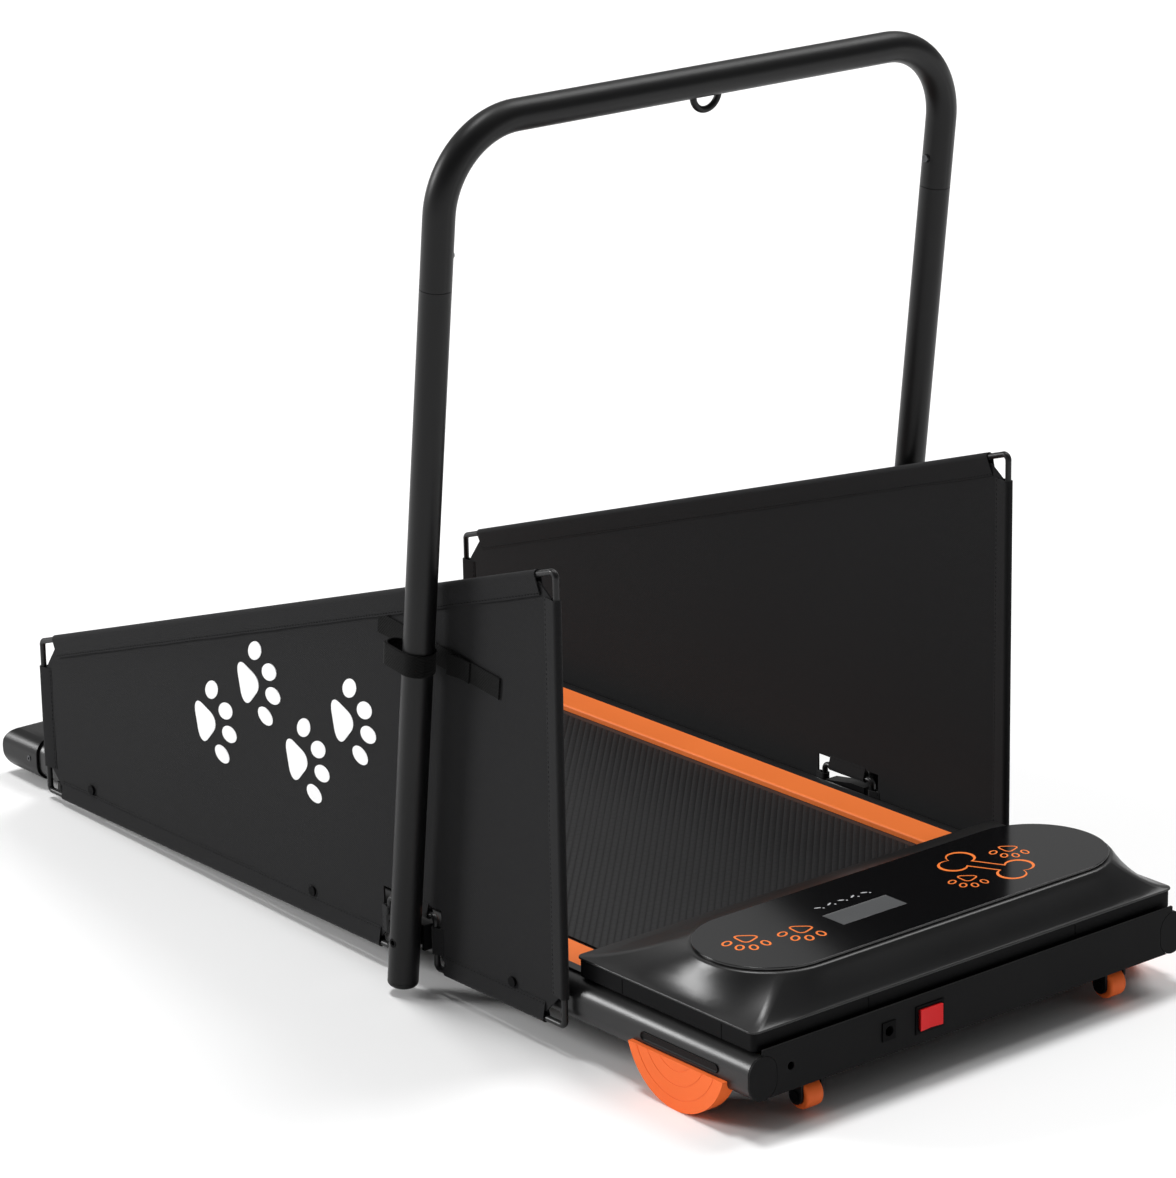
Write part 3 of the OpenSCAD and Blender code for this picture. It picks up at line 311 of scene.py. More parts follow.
class Finish:
    """A material with a Principled shader, built up step by step."""

    def __init__(self, name, colour, rough, metallic=0.0, specular=0.5):
        self.material = bpy.data.materials.new(name)
        self.material.use_nodes = True
        self.material.diffuse_color = colour
        self.tree = self.material.node_tree
        self.shader = self.tree.nodes["Principled BSDF"]
        self.shader.inputs["Metallic"].default_value = metallic
        self.shader.inputs["Specular IOR Level"].default_value = specular
        self.shader.inputs["Base Color"].default_value = colour
        self.shader.inputs["Roughness"].default_value = rough
        self.colour, self.rough = colour, rough
        self.tint, self.gloss = None, None

    def add(self, group, **values):
        node = self.tree.nodes.new("ShaderNodeGroup")
        node.node_tree = group
        for name, value in values.items():
            if isinstance(value, (int, float)):
                node.inputs[name].default_value = value
            else:
                wire(self.tree, value, node.inputs[name])
        return node.outputs

    def share_of(self, mask, share):
        return math_node(self.tree, "MULTIPLY", mask, share)

    def toward(self, mask, colour):
        """Mixes the colour towards another by a mask."""
        mix = self.tree.nodes.new("ShaderNodeMix")
        mix.data_type = "RGBA"
        wire(self.tree, mask, mix.inputs["Factor"])
        if self.tint is None:
            mix.inputs[MIX_FROM].default_value = self.colour
        else:
            wire(self.tree, self.tint, mix.inputs[MIX_FROM])
        mix.inputs[MIX_TO].default_value = colour
        self.tint = mix.outputs[MIX_OUT]
        wire(self.tree, self.tint, self.shader.inputs["Base Color"])

    def duller(self, amount):
        base = self.rough if self.gloss is None else self.gloss
        self.gloss = math_node(self.tree, "ADD", amount, base)
        wire(self.tree, self.gloss, self.shader.inputs["Roughness"])

    def bumped(self, height, strength, depth):
        bump = self.tree.nodes.new("ShaderNodeBump")
        bump.inputs["Strength"].default_value = strength
        bump.inputs["Distance"].default_value = depth
        wire(self.tree, height, bump.inputs["Height"])
        previous = self.shader.inputs["Normal"]
        if previous.is_linked:
            wire(self.tree, previous.links[0].from_socket, bump.inputs["Normal"])
        wire(self.tree, bump.outputs["Normal"], previous)


def times(colour, factor):
    return tuple(min(1.0, v * factor) for v in colour[:3]) + (1,)


DUST_GREY = screen(150, 148, 144)
# Painted edge highlights: their reach and how much lighter they are; then the drift of tone and the pebbles'
# depth
HIGHLIGHT_REACH, HIGHLIGHT_LIFT, DRIFT_LIFT, PEBBLE_DEPTH = 0.0012, 4.0, 1.25, 0.0004


def hard_finish(name, colour, rough, grains=900.0, pebble=0.15, marks=0.12, dust=0.05, edge_highlight=0.0, metallic=0.0,
                specular=0.5):
    """Painted, moulded or bare hard surface: drift of tone, pebbling, touch marks, dust and a painted
    highlight along sharp edges.
    """
    made = Finish(name, colour, rough, metallic, specular)
    grain = made.add(GRAIN, Grains=grains)
    made.toward(grain["Drift"], times(colour, DRIFT_LIFT))
    # Painted highlight: sharp edges are mixed towards a lighter colour.
    if edge_highlight:
        made.toward(made.add(EDGE_HIGHLIGHT, Reach=HIGHLIGHT_REACH, Amount=edge_highlight)["Mask"], times(colour, HIGHLIGHT_LIFT))
    if dust:
        made.toward(made.add(DUST, Amount=dust)["Mask"], DUST_GREY)
    made.duller(made.add(HANDLING, Amount=marks)["Dull"])
    made.bumped(grain["Height"], pebble, PEBBLE_DEPTH)
    return made.material


# Cloth: roughness, specular level, lighter threads, and roughness of its sheen
CLOTH_ROUGH, CLOTH_SPECULAR, CLOTH_TONE, SHEEN_ROUGH = 0.9, 0.15, 1.35, 0.5
# Crossings of the threads: how much darker, how strongly, and how far they stand out
CROSSING_DARK, CROSSING_SHARE, CROSSING_BUMP = 0.55, 0.25, 0.5


def cloth_finish(name, colour, threads, depth=0.0003, sheen=0.06):
    made = Finish(name, colour, CLOTH_ROUGH, specular=CLOTH_SPECULAR)
    weave = made.add(WEAVE, Place=object_place(made.tree), Threads=threads)
    made.toward(weave["Tone"], times(colour, CLOTH_TONE))
    made.toward(made.share_of(weave["Height"], CROSSING_SHARE), times(colour, CROSSING_DARK))
    made.bumped(weave["Height"], CROSSING_BUMP, depth)
    made.shader.inputs["Sheen Weight"].default_value = sheen
    made.shader.inputs["Sheen Roughness"].default_value = SHEEN_ROUGH
    return made.material


# Belt: ribs and grains to the metre, touch marks, and drift of tone
BELT_RIBS, BELT_GRAINS, BELT_MARKS, BELT_DRIFT = 100.0, 1500.0, 0.15, 1.3
# Grooves between the ribs: how dark their painted shade is, how strongly it is painted, and how much duller
# they are
GROOVE_SHADE, GROOVE_SHADE_SHARE, GROOVE_DULL = 0.2, 0.9, 0.3


def belt_finish():
    colour = screen(25, 25, 26)
    made = Finish("belt_rubber", colour, 0.5, specular=0.32)
    ribs = made.add(RIBS, Place=object_place(made.tree), Ribs=BELT_RIBS)
    grain = made.add(GRAIN, Grains=BELT_GRAINS)
    made.toward(grain["Drift"], times(colour, BELT_DRIFT))
    # Painted shade: the grooves between the ribs are mixed towards a darker colour.
    made.toward(made.share_of(ribs["Groove"], GROOVE_SHADE_SHARE), times(colour, GROOVE_SHADE))
    made.duller(made.add(HANDLING, Amount=BELT_MARKS)["Dull"])
    made.duller(made.share_of(ribs["Groove"], GROOVE_DULL))
    made.bumped(grain["Height"], strength=0.2, depth=0.0002)
    made.bumped(ribs["Height"], strength=0.8, depth=0.0009)
    return made.material


# Board: its fibres run along Y, and how dark they are
FIBRE_SCALE, FIBRE_DARK = (14, 1.2, 14), 0.45


def wood_finish():
    colour = screen(38, 33, 30)
    made = Finish("deck_board", colour, 0.55)
    mapping = made.tree.nodes.new("ShaderNodeMapping")
    mapping.inputs["Scale"].default_value = FIBRE_SCALE
    wire(made.tree, object_place(made.tree), mapping.inputs["Vector"])
    fibre = noise(made.tree, mapping.outputs["Vector"], size=6.0, detail=6.0, rough=0.65)
    made.toward(fibre, times(colour, FIBRE_DARK))
    made.bumped(fibre, strength=0.2, depth=0.0003)
    return made.material


# Hard finishes: colour on screen, roughness, and what differs from hard_finish's own values
HARD = {
    # The edge amount that some entries give paints a highlight along sharp edges.
    "rail_paint": ((15, 15, 16), 0.34, dict(edge_highlight=0.2, specular=0.45)),
    "beam_paint": ((13, 13, 14), 0.5, dict(edge_highlight=0.25, specular=0.08)),
    "tube_paint": ((12, 12, 13), 0.4, dict(grains=1100, pebble=0.2, specular=0.26)),
    "rod_steel": ((20, 20, 21), 0.36, dict(specular=0.3)),
    "cap_plastic": ((14, 14, 15), 0.32, dict(grains=1500, edge_highlight=0.12, specular=0.22)),
    "cover_plastic": ((15, 15, 16), 0.34, dict(grains=1600, pebble=0.1, specular=0.42)),
    # A darker copy of the cover's plastic: painted shade under the cover's lip.
    "cover_skirt": ((10, 10, 11), 0.5, dict(grains=1200, dust=0.0, specular=0.07)),
    "overlay_gloss": ((5, 5, 6), 0.13, dict(pebble=0.0, marks=0.03, dust=0.0)),
    "display_glass": ((88, 89, 90), 0.12, dict(pebble=0.02, dust=0.0)),
    "orange_plastic": ((231, 104, 44), 0.5, dict(grains=1300, dust=0.02, specular=0.2)),
    # A lighter copy of the orange plastic for the landing strips: painted light that makes up for the shade
    # over the lane.
    "strip_orange_painted_light": ((240, 119, 54), 0.5, dict(grains=1300, dust=0.02, specular=0.2)),
    "roller_steel": ((150, 151, 153), 0.3, dict(metallic=1.0)),
    "pulley_metal": ((140, 141, 143), 0.35, dict(metallic=1.0)),
    "bracket_steel": ((12, 12, 13), 0.5, dict(edge_highlight=0.15, specular=0.1)),
    "screw_steel": ((8, 8, 9), 0.5, dict(specular=0.05)),
    "motor_paint": ((80, 82, 86), 0.4, {}),
    "drive_rubber": ((22, 22, 22), 0.75, dict(grains=700)),
    "board_green": ((48, 92, 60), 0.4, {}),
    "switch_black": ((5, 5, 6), 0.5, dict(dust=0.0, specular=0.05)),
    "switch_red": ((222, 32, 36), 0.45, dict(grains=2000, pebble=0.05, dust=0.0, specular=0.15)),
    "foot_rubber": ((20, 20, 20), 0.8, dict(grains=700)),
    "caster_plastic": ((12, 12, 13), 0.45, dict(specular=0.12)),
    "button_steel": ((70, 71, 73), 0.35, dict(metallic=0.8)),
    "spring_steel": ((140, 141, 143), 0.3, dict(metallic=1.0)),
    "white_print": ((246, 246, 246), 0.6, dict(dust=0.0)),
    "orange_print": ((240, 118, 40), 0.45, dict(dust=0.0)),
    "grey_print": ((185, 186, 188), 0.5, dict(dust=0.0)),
}
FINISHES = {name: hard_finish(name, screen(*colour), rough, **more)
            for name, (colour, rough, more) in HARD.items()}
FINISHES["belt_rubber"] = belt_finish()
FINISHES["deck_wood"] = wood_finish()
FINISHES["panel_fabric"] = cloth_finish("panel_fabric", screen(25, 25, 26), threads=900.0)
FINISHES["strap_web"] = cloth_finish("strap_web", screen(7, 7, 7), threads=600.0, depth=0.0006, sheen=0.03)
# The thread's near-black is partly its own colour and partly painted shade for the dark line along the seams.
FINISHES["thread"] = cloth_finish("hem_thread_with_seam_shade", screen(9, 9, 10), threads=2500.0, sheen=0.02)


def coat(piece, finish):
    piece.data.materials.clear()
    piece.data.materials.append(FINISHES[finish])


for node, made in NODES.items():
    coat(made, SLOT_OF[node])

# Ways of modelling: the bend in degrees from which an edge stays sharp, on hard pieces and on cloth,
# how near points are to be merged, and the bend up to which flats become one
SHARP, CLOTH_SHARP = 32, 40
MERGE, FLAT_BEND = 2e-6, 0.2
# How much of a face's normal points one way when the face looks that way
LOOKS = 0.99


def only(*pieces):
    bpy.ops.object.select_all(action="DESELECT")
    for piece in pieces:
        piece.select_set(True)
    bpy.context.view_layer.objects.active = pieces[0]


def leave_edit():
    bpy.ops.object.mode_set(mode="OBJECT")


def pick_faces(piece, wanted):
    """Goes into edit mode with only the wanted faces selected."""
    only(piece)
    bpy.ops.object.mode_set(mode="EDIT")
    bpy.ops.mesh.select_mode(type="FACE")
    bpy.ops.mesh.select_all(action="DESELECT")
    leave_edit()
    for face in piece.data.polygons:
        face.select = wanted(face)
    bpy.ops.object.mode_set(mode="EDIT")


def pick_all(piece):
    """Goes into edit mode with everything selected."""
    only(piece)
    bpy.ops.object.mode_set(mode="EDIT")
    bpy.ops.mesh.select_all(action="SELECT")


def apply(piece, kind, **settings):
    only(piece)
    modifier = piece.modifiers.new(kind.lower(), kind)
    for key, value in settings.items():
        setattr(modifier, key, value)
    bpy.ops.object.modifier_apply(modifier=modifier.name)


def smooth(piece, angle=SHARP):
    only(piece)
    bpy.ops.object.shade_smooth_by_angle(angle=math.radians(angle))


def seat(piece, body, finish, stands_for=()):
    """Places a finished piece on its body, with its finish."""
    coat(piece, finish)
    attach(piece, body)
    if stands_for:
        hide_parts(*stands_for)
    return piece


def joined(pieces):
    only(*pieces)
    bpy.ops.object.join()
    piece = bpy.context.object
    bpy.ops.object.transform_apply(location=True, rotation=True, scale=True)
    return piece


def merged_copy(node):
    """A copy of a solid with its loose triangles merged and its flats made whole."""
    piece = bpy.data.objects.new(node + "_skin", NODES[node].data.copy())
    scene.collection.objects.link(piece)
    pick_all(piece)
    bpy.ops.mesh.remove_doubles(threshold=MERGE)
    bpy.ops.mesh.dissolve_limited(angle_limit=math.radians(FLAT_BEND))
    leave_edit()
    return piece


# Landing strips, square to the deck: inner edge, top, how near an edge lies to both, roll of the inner edge,
# and where the outer band of painted shade begins
STRIP_IN, STRIP_TOP, STRIP_NEAR = 0.226, 0.0842, 2e-4
STRIP_ROLL, STRIP_ROLL_STEPS = 0.0024, 6
STRIP_SHADE_FROM = 0.2645


def roll_strip_edge(piece):
    """Rounds the long inner edge that turns down to the belt."""
    square = [SQUARE @ v.co for v in piece.data.vertices]
    on_edge = [abs(abs(c.x) - STRIP_IN) < STRIP_NEAR and abs(c.z - STRIP_TOP) < STRIP_NEAR for c in square]
    only(piece)
    bpy.ops.object.mode_set(mode="EDIT")
    bpy.ops.mesh.select_all(action="DESELECT")
    leave_edit()
    for edge in piece.data.edges:
        edge.select = all(on_edge[v] for v in edge.vertices)
    bpy.ops.object.mode_set(mode="EDIT")
    bpy.ops.mesh.bevel(offset=STRIP_ROLL, segments=STRIP_ROLL_STEPS, affect="EDGES")
    leave_edit()


def paint_strip_shade(piece, side):
    """Paints the band along the rail in the rail's black: painted shade for the shaded gap between strip and
    rail.
    """
    pick_all(piece)
    bpy.ops.mesh.bisect(plane_co=STAND @ Vector((side * STRIP_SHADE_FROM, 0, 0)), plane_no=(1, 0, 0))
    leave_edit()
    piece.data.materials.append(FINISHES["rail_paint"])
    for face in piece.data.polygons:
        face.material_index = int(abs(face.center.x) > STRIP_SHADE_FROM)


# Foot inserts: how far they stand out of the rail's window, and the width and depth of their rim
INSERT_OUT, RIM_WIDTH, RIM_DEPTH = 0.0022, 0.0016, 0.0018


def raise_rim(piece):
    """Brings the inserts' outer faces out of the rails and sinks them inside a rim."""
    pick_faces(piece, lambda face: face.normal.x * math.copysign(1, face.center.x) > LOOKS)
    bpy.ops.mesh.inset(thickness=0, depth=INSERT_OUT)
    bpy.ops.mesh.inset(thickness=RIM_WIDTH, depth=-RIM_DEPTH)
    leave_edit()


# Height of the cover's lip over the floor, square to the deck, and the most that its skirt's faces lean
LIP, SKIRT_LEAN = 0.1005, 0.3


def paint_skirt_shade(cover):
    """Gives the band below the cover's lip a darker, matt finish: its darker colour is painted shade under
    the lip.
    """
    cover.data.materials.append(FINISHES["cover_skirt"])
    turn = SQUARE.to_3x3()
    for face in cover.data.polygons:
        upright = abs((turn @ face.normal).z) < SKIRT_LEAN
        if upright and (SQUARE @ face.center).z < LIP:
            face.material_index = 1


# Solids whose look is another finish than their slot's; the strips' lighter orange is painted light
FRONT_FINISH = {"rail_front_plugs": "beam_paint", "landing_strip_left": "strip_orange_painted_light",
                "landing_strip_right": "strip_orange_painted_light", "foot_inserts": "caster_plastic"}
# What some solids get before their edges are eased
RESHAPE = {"landing_strip_left": roll_strip_edge, "landing_strip_right": roll_strip_edge,
           "foot_inserts": raise_rim}
# Eased edge of each solid that shows, in millimetres
EASED = {
    "motor_cover": 0.5, "console_overlay": 0.7, "front_beam": 0.6, "rail_left": 0.5, "rail_right": 0.5,
    "rail_front_plugs": 0.4, "rear_cap_left": 0.8, "rear_cap_right": 0.8, "landing_strip_left": 0.5,
    "landing_strip_right": 0.5, "running_belt": 0.3, "switch_bezel": 0.3, "switch_rocker": 0.4,
    "power_inlet": 0.3, "rocker_foot_left": 0.7, "rocker_foot_right": 0.7, "foot_inserts": 0.5,
    "rear_feet": 0.5, "caster_fork_left": 0.3, "caster_fork_right": 0.3, "caster_wheel_left": 0.6,
    "caster_wheel_right": 0.6, "panel_rod_left": 0, "panel_rod_right": 0, "panel_screws": 0.3,
    "panel_spacers": 0.3, "post_bracket_left": 0.3, "post_bracket_right": 0.3, "pivot_pins": 0.3,
    "lower_post_left": 0.3, "lower_post_right": 0.3, "post_plugs": 0.4, "gantry_bow": 0.3, "leash_ring": 0,
    "snap_button_left": 0.3, "snap_button_right": 0.3, "display_window": 0.2,
}
EASE_STEPS = 3


def dressed(node, edge):
    """A smooth copy of a solid, with its sharp edges eased by a few tenths of a millimetre."""
    piece = merged_copy(node)
    if node in RESHAPE:
        RESHAPE[node](piece)
    if edge:
        apply(piece, "BEVEL", width=edge * MM, segments=EASE_STEPS, limit_method="ANGLE",
              angle_limit=math.radians(SHARP))
    smooth(piece)
    apply(piece, "WEIGHTED_NORMAL", keep_sharp=True)
    return seat(piece, BODY_OF[node], FRONT_FINISH.get(node, SLOT_OF[node]), [node])


skins = {node: dressed(node, edge) for node, edge in EASED.items()}
# Painted shade on the band below the cover's lip.
paint_skirt_shade(skins["motor_cover"])
# Painted shade along the strips' outer edges, next to the rails.
paint_strip_shade(skins["landing_strip_left"], -1)
paint_strip_shade(skins["landing_strip_right"], 1)

# Small fittings on the hard parts, in metres square to the deck
SEAM_LOW, SEAM_HIGH, SEAM_WIDE, SEAM_DEEP, SEAM_EASE = 0.0846, 0.1000, 0.0017, 0.0006, 0.0002
COVER_SIDE, COVER_FRONT = 0.282, -0.636
SIDE_SEAMS, FRONT_SEAMS = (-0.443, -0.5895), (-0.1348, 0.1455)
CAP_SCREW = (0.297, 0.592, 0.059)
CAP_SCREW_R, CAP_SCREW_HIGH, CAP_SCREW_EASE, CAP_SCREW_SIDES = 0.0034, 0.0016, 0.0005, 32
SOCKET_RIM_SHARE, SOCKET_DEEP_SHARE = 0.42, 0.5
SCREW_SHARP = 40


def set_on(piece, place, out):
    """Stands a piece, drawn with its top towards +Z, on a face that looks out."""
    turn = Vector(out).to_track_quat("Z", "Y").to_matrix().to_4x4()
    piece.data.transform(STAND @ Matrix.Translation(place) @ turn)
    return piece


def copied(piece):
    other = piece.copy()
    other.data = piece.data.copy()
    scene.collection.objects.link(other)
    return other


def repeated(name, first, places):
    """One piece made of a copy of the first at each place."""
    made = [set_on(copied(first), *place) for place in places]
    bpy.data.objects.remove(first)
    piece = joined(made)
    piece.name = name
    smooth(piece)
    return piece


def cover_seams():
    """Upright seams in the cover's skirt, where its clips sit: narrow dark inlays with eased edges."""
    bpy.ops.object.select_all(action="DESELECT")
    bpy.ops.mesh.primitive_cube_add(size=1)
    first = bpy.context.object
    first.scale = (SEAM_WIDE, SEAM_HIGH - SEAM_LOW, SEAM_DEEP)
    bpy.ops.object.transform_apply(location=True, rotation=True, scale=True)
    apply(first, "BEVEL", width=SEAM_EASE, segments=2)
    middle = (SEAM_LOW + SEAM_HIGH) / 2
    places = [((side * COVER_SIDE, y, middle), (side, 0, 0)) for side in (-1, 1) for y in SIDE_SEAMS]
    places += [((x, COVER_FRONT, middle), (0, -1, 0)) for x in FRONT_SEAMS]
    seat(repeated("cover_seams", first, places), "frame", "switch_black")


def cap_screws():
    """Socket screws in the sides of the rear caps."""
    bpy.ops.object.select_all(action="DESELECT")
    bpy.ops.mesh.primitive_cylinder_add(vertices=CAP_SCREW_SIDES, radius=CAP_SCREW_R, depth=CAP_SCREW_HIGH)
    first = bpy.context.object
    apply(first, "BEVEL", width=CAP_SCREW_EASE, segments=3, limit_method="ANGLE",
          angle_limit=math.radians(SCREW_SHARP))
    pick_faces(first, lambda face: face.normal.z > LOOKS)
    bpy.ops.mesh.inset(thickness=CAP_SCREW_R * SOCKET_RIM_SHARE)
    down = (0, 0, -CAP_SCREW_HIGH * SOCKET_DEEP_SHARE)
    bpy.ops.mesh.extrude_region_move(TRANSFORM_OT_translate={"value": down})
    leave_edit()
    x, y, z = CAP_SCREW
    places = [((side * x, y, z), (side, 0, 0)) for side in (-1, 1)]
    seat(repeated("cap_screws", first, places), "frame", "button_steel")


cover_seams()
cap_screws()

# Side panels, as the solids have them, in metres: the rod's centre line is drawn as (y, z)
PANEL_X = 0.301
SLEEVE_R = 0.00475
SLEEVE_WALL = 0.0010
CLOTH = 0.002
HEM, TOP_HEM, NOTCH_HEM = 0.0175, 0.0205, 0.0125
PANEL_FRONT, PANEL_BACK = -0.382, 0.548
PANEL_LOW, PANEL_TALL, PANEL_SHORT = 0.031, 0.4795, 0.1845
PANEL_SLOPE = (PANEL_SHORT - PANEL_TALL) / (PANEL_BACK - PANEL_FRONT)
# Drop of the sloping rod's centre below the panel's top, as a share of the sleeve's radius
TOP_DROP_SHARE = 1.05
NOTCH_FRONT, NOTCH_BACK, NOTCH_TOP = -0.1671, -0.1001, 0.0855
# Bare rod on both sides of each corner, from the lower front one round to the upper front one
CORNER_BARE, NOTCH_LOW_BARE, NOTCH_TOP_BARE = 0.029, 0.016, 0.010
BARE = [CORNER_BARE, NOTCH_LOW_BARE, NOTCH_TOP_BARE, NOTCH_TOP_BARE, NOTCH_LOW_BARE, CORNER_BARE, CORNER_BARE,
        CORNER_BARE]
# Stretches of the rod, counted from the lower front corner, and the notch's upper corners
NOTCH_EDGES, TOP_EDGE = (1, 2, 3), 6
NOTCH_NEAR, NOTCH_FAR = 2, 3
SEAM_INSET = 0.007
# How far the hem stands out from the cloth's middle where it is sewn down, and the top hem on its outer face
SEAM_OUT, TOP_SEAM_OUT = 0.0014, 0.0034
OUTER, INNER = 1, -1
# Unevenness of the hems, as size, pace and start, and of the flat, as size and pace along y and z
HEM_WAVES = ((0.012, 61.0, 0.0), (0.008, 143.0, 1.0))
FIELD_WAVES = ((0.00022, 23.0, 9.0), (0.00016, -7.0, 41.0))
# A hem's stations and the flat's cells, the steps round a sleeve, and how near points are to be welded
HEM_STEP, FIELD_CELL, SLEEVE_STEPS, WELD = 0.02, 0.0105, 16, 1e-7


def panel_top(y):
    return PANEL_LOW + PANEL_TALL + PANEL_SLOPE * (y - PANEL_FRONT) - TOP_DROP_SHARE * SLEEVE_R


def rod_path():
    near, far, low = PANEL_FRONT + SLEEVE_R, PANEL_BACK - SLEEVE_R, PANEL_LOW + SLEEVE_R
    ahead, behind, above = NOTCH_FRONT - SLEEVE_R, NOTCH_BACK + SLEEVE_R, NOTCH_TOP + SLEEVE_R
    corners = [(near, low), (ahead, low), (ahead, above), (behind, above), (behind, low), (far, low),
               (far, panel_top(far)), (near, panel_top(near))]
    return [Vector(c) for c in corners]


class Edge:
    """One straight stretch of the rod: its ends where the hem is cut, its direction and its inward side."""

    def __init__(self, path, i):
        follows = (i + 1) % len(path)
        self.along = (path[follows] - path[i]).normalized()
        self.inward = Vector((-self.along.y, self.along.x))
        self.start = path[i] + self.along * BARE[i]
        self.end = path[follows] - self.along * BARE[follows]
        self.length = (self.end - self.start).length
        self.hem = NOTCH_HEM if i in NOTCH_EDGES else TOP_HEM if i == TOP_EDGE else HEM
        self.seam = {OUTER: TOP_SEAM_OUT if i == TOP_EDGE else SEAM_OUT, INNER: SEAM_OUT}

    def at(self, run, inward):
        return self.start + self.along * run + self.inward * inward


ROD = rod_path()
EDGES = [Edge(ROD, i) for i in range(len(ROD))]


def skin_rows(bm, rows, closed=False):
    """Faces between rows of points, each row a closed section."""
    count = len(rows[0])
    for a, b in zip(rows, rows[1:] + (rows[:1] if closed else [])):
        for p in range(count):
            q = (p + 1) % count
            bm.faces.new((a[p], a[q], b[q], b[p]))


def cap_rows(bm, rows):
    bm.faces.new(rows[0])
    bm.faces.new(rows[-1])


def finished_mesh(name, bm):
    bmesh.ops.remove_doubles(bm, verts=bm.verts, dist=WELD)
    bmesh.ops.recalc_face_normals(bm, faces=bm.faces)
    mesh = bpy.data.meshes.new(name)
    bm.to_mesh(mesh)
    bm.free()
    piece = bpy.data.objects.new(name, mesh)
    scene.collection.objects.link(piece)
    return piece


def hem_loop(radius, outer, inner, hem):
    """Section of cloth led round the rod and sewn to itself: (inward, sideways)."""
    leave, meet = (math.atan2(out, hem) + math.acos(radius / math.hypot(hem, out)) for out in (outer, inner))
    turns = [leave + (2 * math.pi - leave - meet) * i / SLEEVE_STEPS for i in range(SLEEVE_STEPS + 1)]
    return [(hem, outer)] + [(radius * math.cos(a), radius * math.sin(a)) for a in turns] + [(hem, -inner)]


def sew_hem(bm, edge, side):
    """Sweeps the hem's section along one edge, with a little unevenness in the seam."""
    outer = hem_loop(SLEEVE_R, edge.seam[OUTER], edge.seam[INNER], edge.hem)
    inner = hem_loop(SLEEVE_R - SLEEVE_WALL, edge.seam[OUTER] / 2, edge.seam[INNER] / 2, edge.hem)
    stations = max(3, int(edge.length / HEM_STEP))
    rows = []
    for k in range(stations + 1):
        run = edge.length * k / stations
        uneven = 1 + sum(size * math.sin(run * pace + start) for size, pace, start in HEM_WAVES)
        row = []
        for inward, sideways in outer + inner[::-1]:
            y, z = edge.at(run, inward * (uneven if inward > 0 else 1))
            row.append(bm.verts.new((side * (PANEL_X + sideways), y, z)))
        rows.append(row)
    skin_rows(bm, rows)
    count = len(rows[0])
    for row in (rows[0], rows[-1]):
        for p in range(len(outer) - 1):
            bm.faces.new((row[p], row[p + 1], row[count - 2 - p], row[count - 1 - p]))


def field_outline():
    """Outline of the flat between the hems, with the square holes at the notch's upper corners."""
    points = []
    for i, corner in enumerate(ROD):
        before, after = EDGES[i - 1], EDGES[i]
        points.append(before.at(before.length, SEAM_INSET))
        if i in (NOTCH_NEAR, NOTCH_FAR):
            away = NOTCH_TOP_BARE
            side = -1 if i == NOTCH_NEAR else 1
            square = [(side * away, -away), (side * away, away), (-side * away, away)]
            points += [corner + Vector(c) for c in (square if i == NOTCH_NEAR else square[::-1])]
        points.append(after.at(0, SEAM_INSET))
    return points


def panel_field(bm, side):
    """The flat of the panel: its outline cut into a grid, slightly uneven between the hems."""
    bm.faces.new([bm.verts.new((0, p.x, p.y)) for p in field_outline()])
    spans = ((Vector((0, 1, 0)), PANEL_FRONT, PANEL_BACK),
             (Vector((0, 0, 1)), PANEL_LOW, PANEL_LOW + PANEL_TALL))
    for direction, low, high in spans:
        for k in range(1, int((high - low) / FIELD_CELL)):
            bmesh.ops.bisect_plane(bm, geom=bm.verts[:] + bm.edges[:] + bm.faces[:], dist=WELD,
                                   plane_co=direction * (low + k * FIELD_CELL), plane_no=direction)
    for v in bm.verts:
        y, z = v.co.y, v.co.z
        swell = sum(size * math.sin(y * over + z * up) for size, over, up in FIELD_WAVES)
        v.co.x = side * (PANEL_X + swell)


def flat_cut_area():
    """Area of the panel's cut: the field up to the seams, and the two layers of every hem round the rod."""
    corners = field_outline()
    field = abs(sum(a.cross(b) for a, b in zip(corners, corners[1:] + corners[:1]))) / 2
    hems = sum(e.length * (2 * e.hem + math.pi * SLEEVE_R) for e in EDGES)
    return field + hems


# Stitches: length, gap, thread, and how far they lie from the hem's edge
STITCH, STITCH_GAP, THREAD_R, STITCH_IN = 0.0034, 0.0016, 0.00038, 0.0022
# Along one stitch: shares of its length and of the thread's radius, and the lift off the hem
STITCH_ROWS = ((-0.5, 0.35, 0.00015), (-0.25, 1.0, 0.00045), (0.25, 1.0, 0.00045), (0.5, 0.35, 0.00015))
THREAD_SIDES, THREAD_SHARP = 6, 60


def sew_stitches(side, word):
    """Lock stitches along the hems, on both faces of a panel: each is a short thread with buried ends."""
    bm = bmesh.new()
    turns = [math.radians(360 / THREAD_SIDES * k) for k in range(THREAD_SIDES)]
    section = [(math.cos(a), math.sin(a)) for a in turns]
    for edge in EDGES:
        inward = edge.hem - STITCH_IN
        count = int(edge.length / (STITCH + STITCH_GAP))
        for k in range(count):
            run = (k + 0.5) * edge.length / count
            for face in (OUTER, INNER):
                rows = []
                for share, size, lift in STITCH_ROWS:
                    row = []
                    for c, s in section:
                        y, z = edge.at(run + share * STITCH, inward + c * THREAD_R * size)
                        out = edge.seam[face] + lift + s * THREAD_R * size
                        row.append(bm.verts.new((side * (PANEL_X + face * out), y, z)))
                    rows.append(row)
                skin_rows(bm, rows)
                cap_rows(bm, rows)
    piece = finished_mesh("hem_stitching_" + word, bm)
    piece.data.transform(STAND)
    smooth(piece, THREAD_SHARP)
    return seat(piece, "frame", "thread")


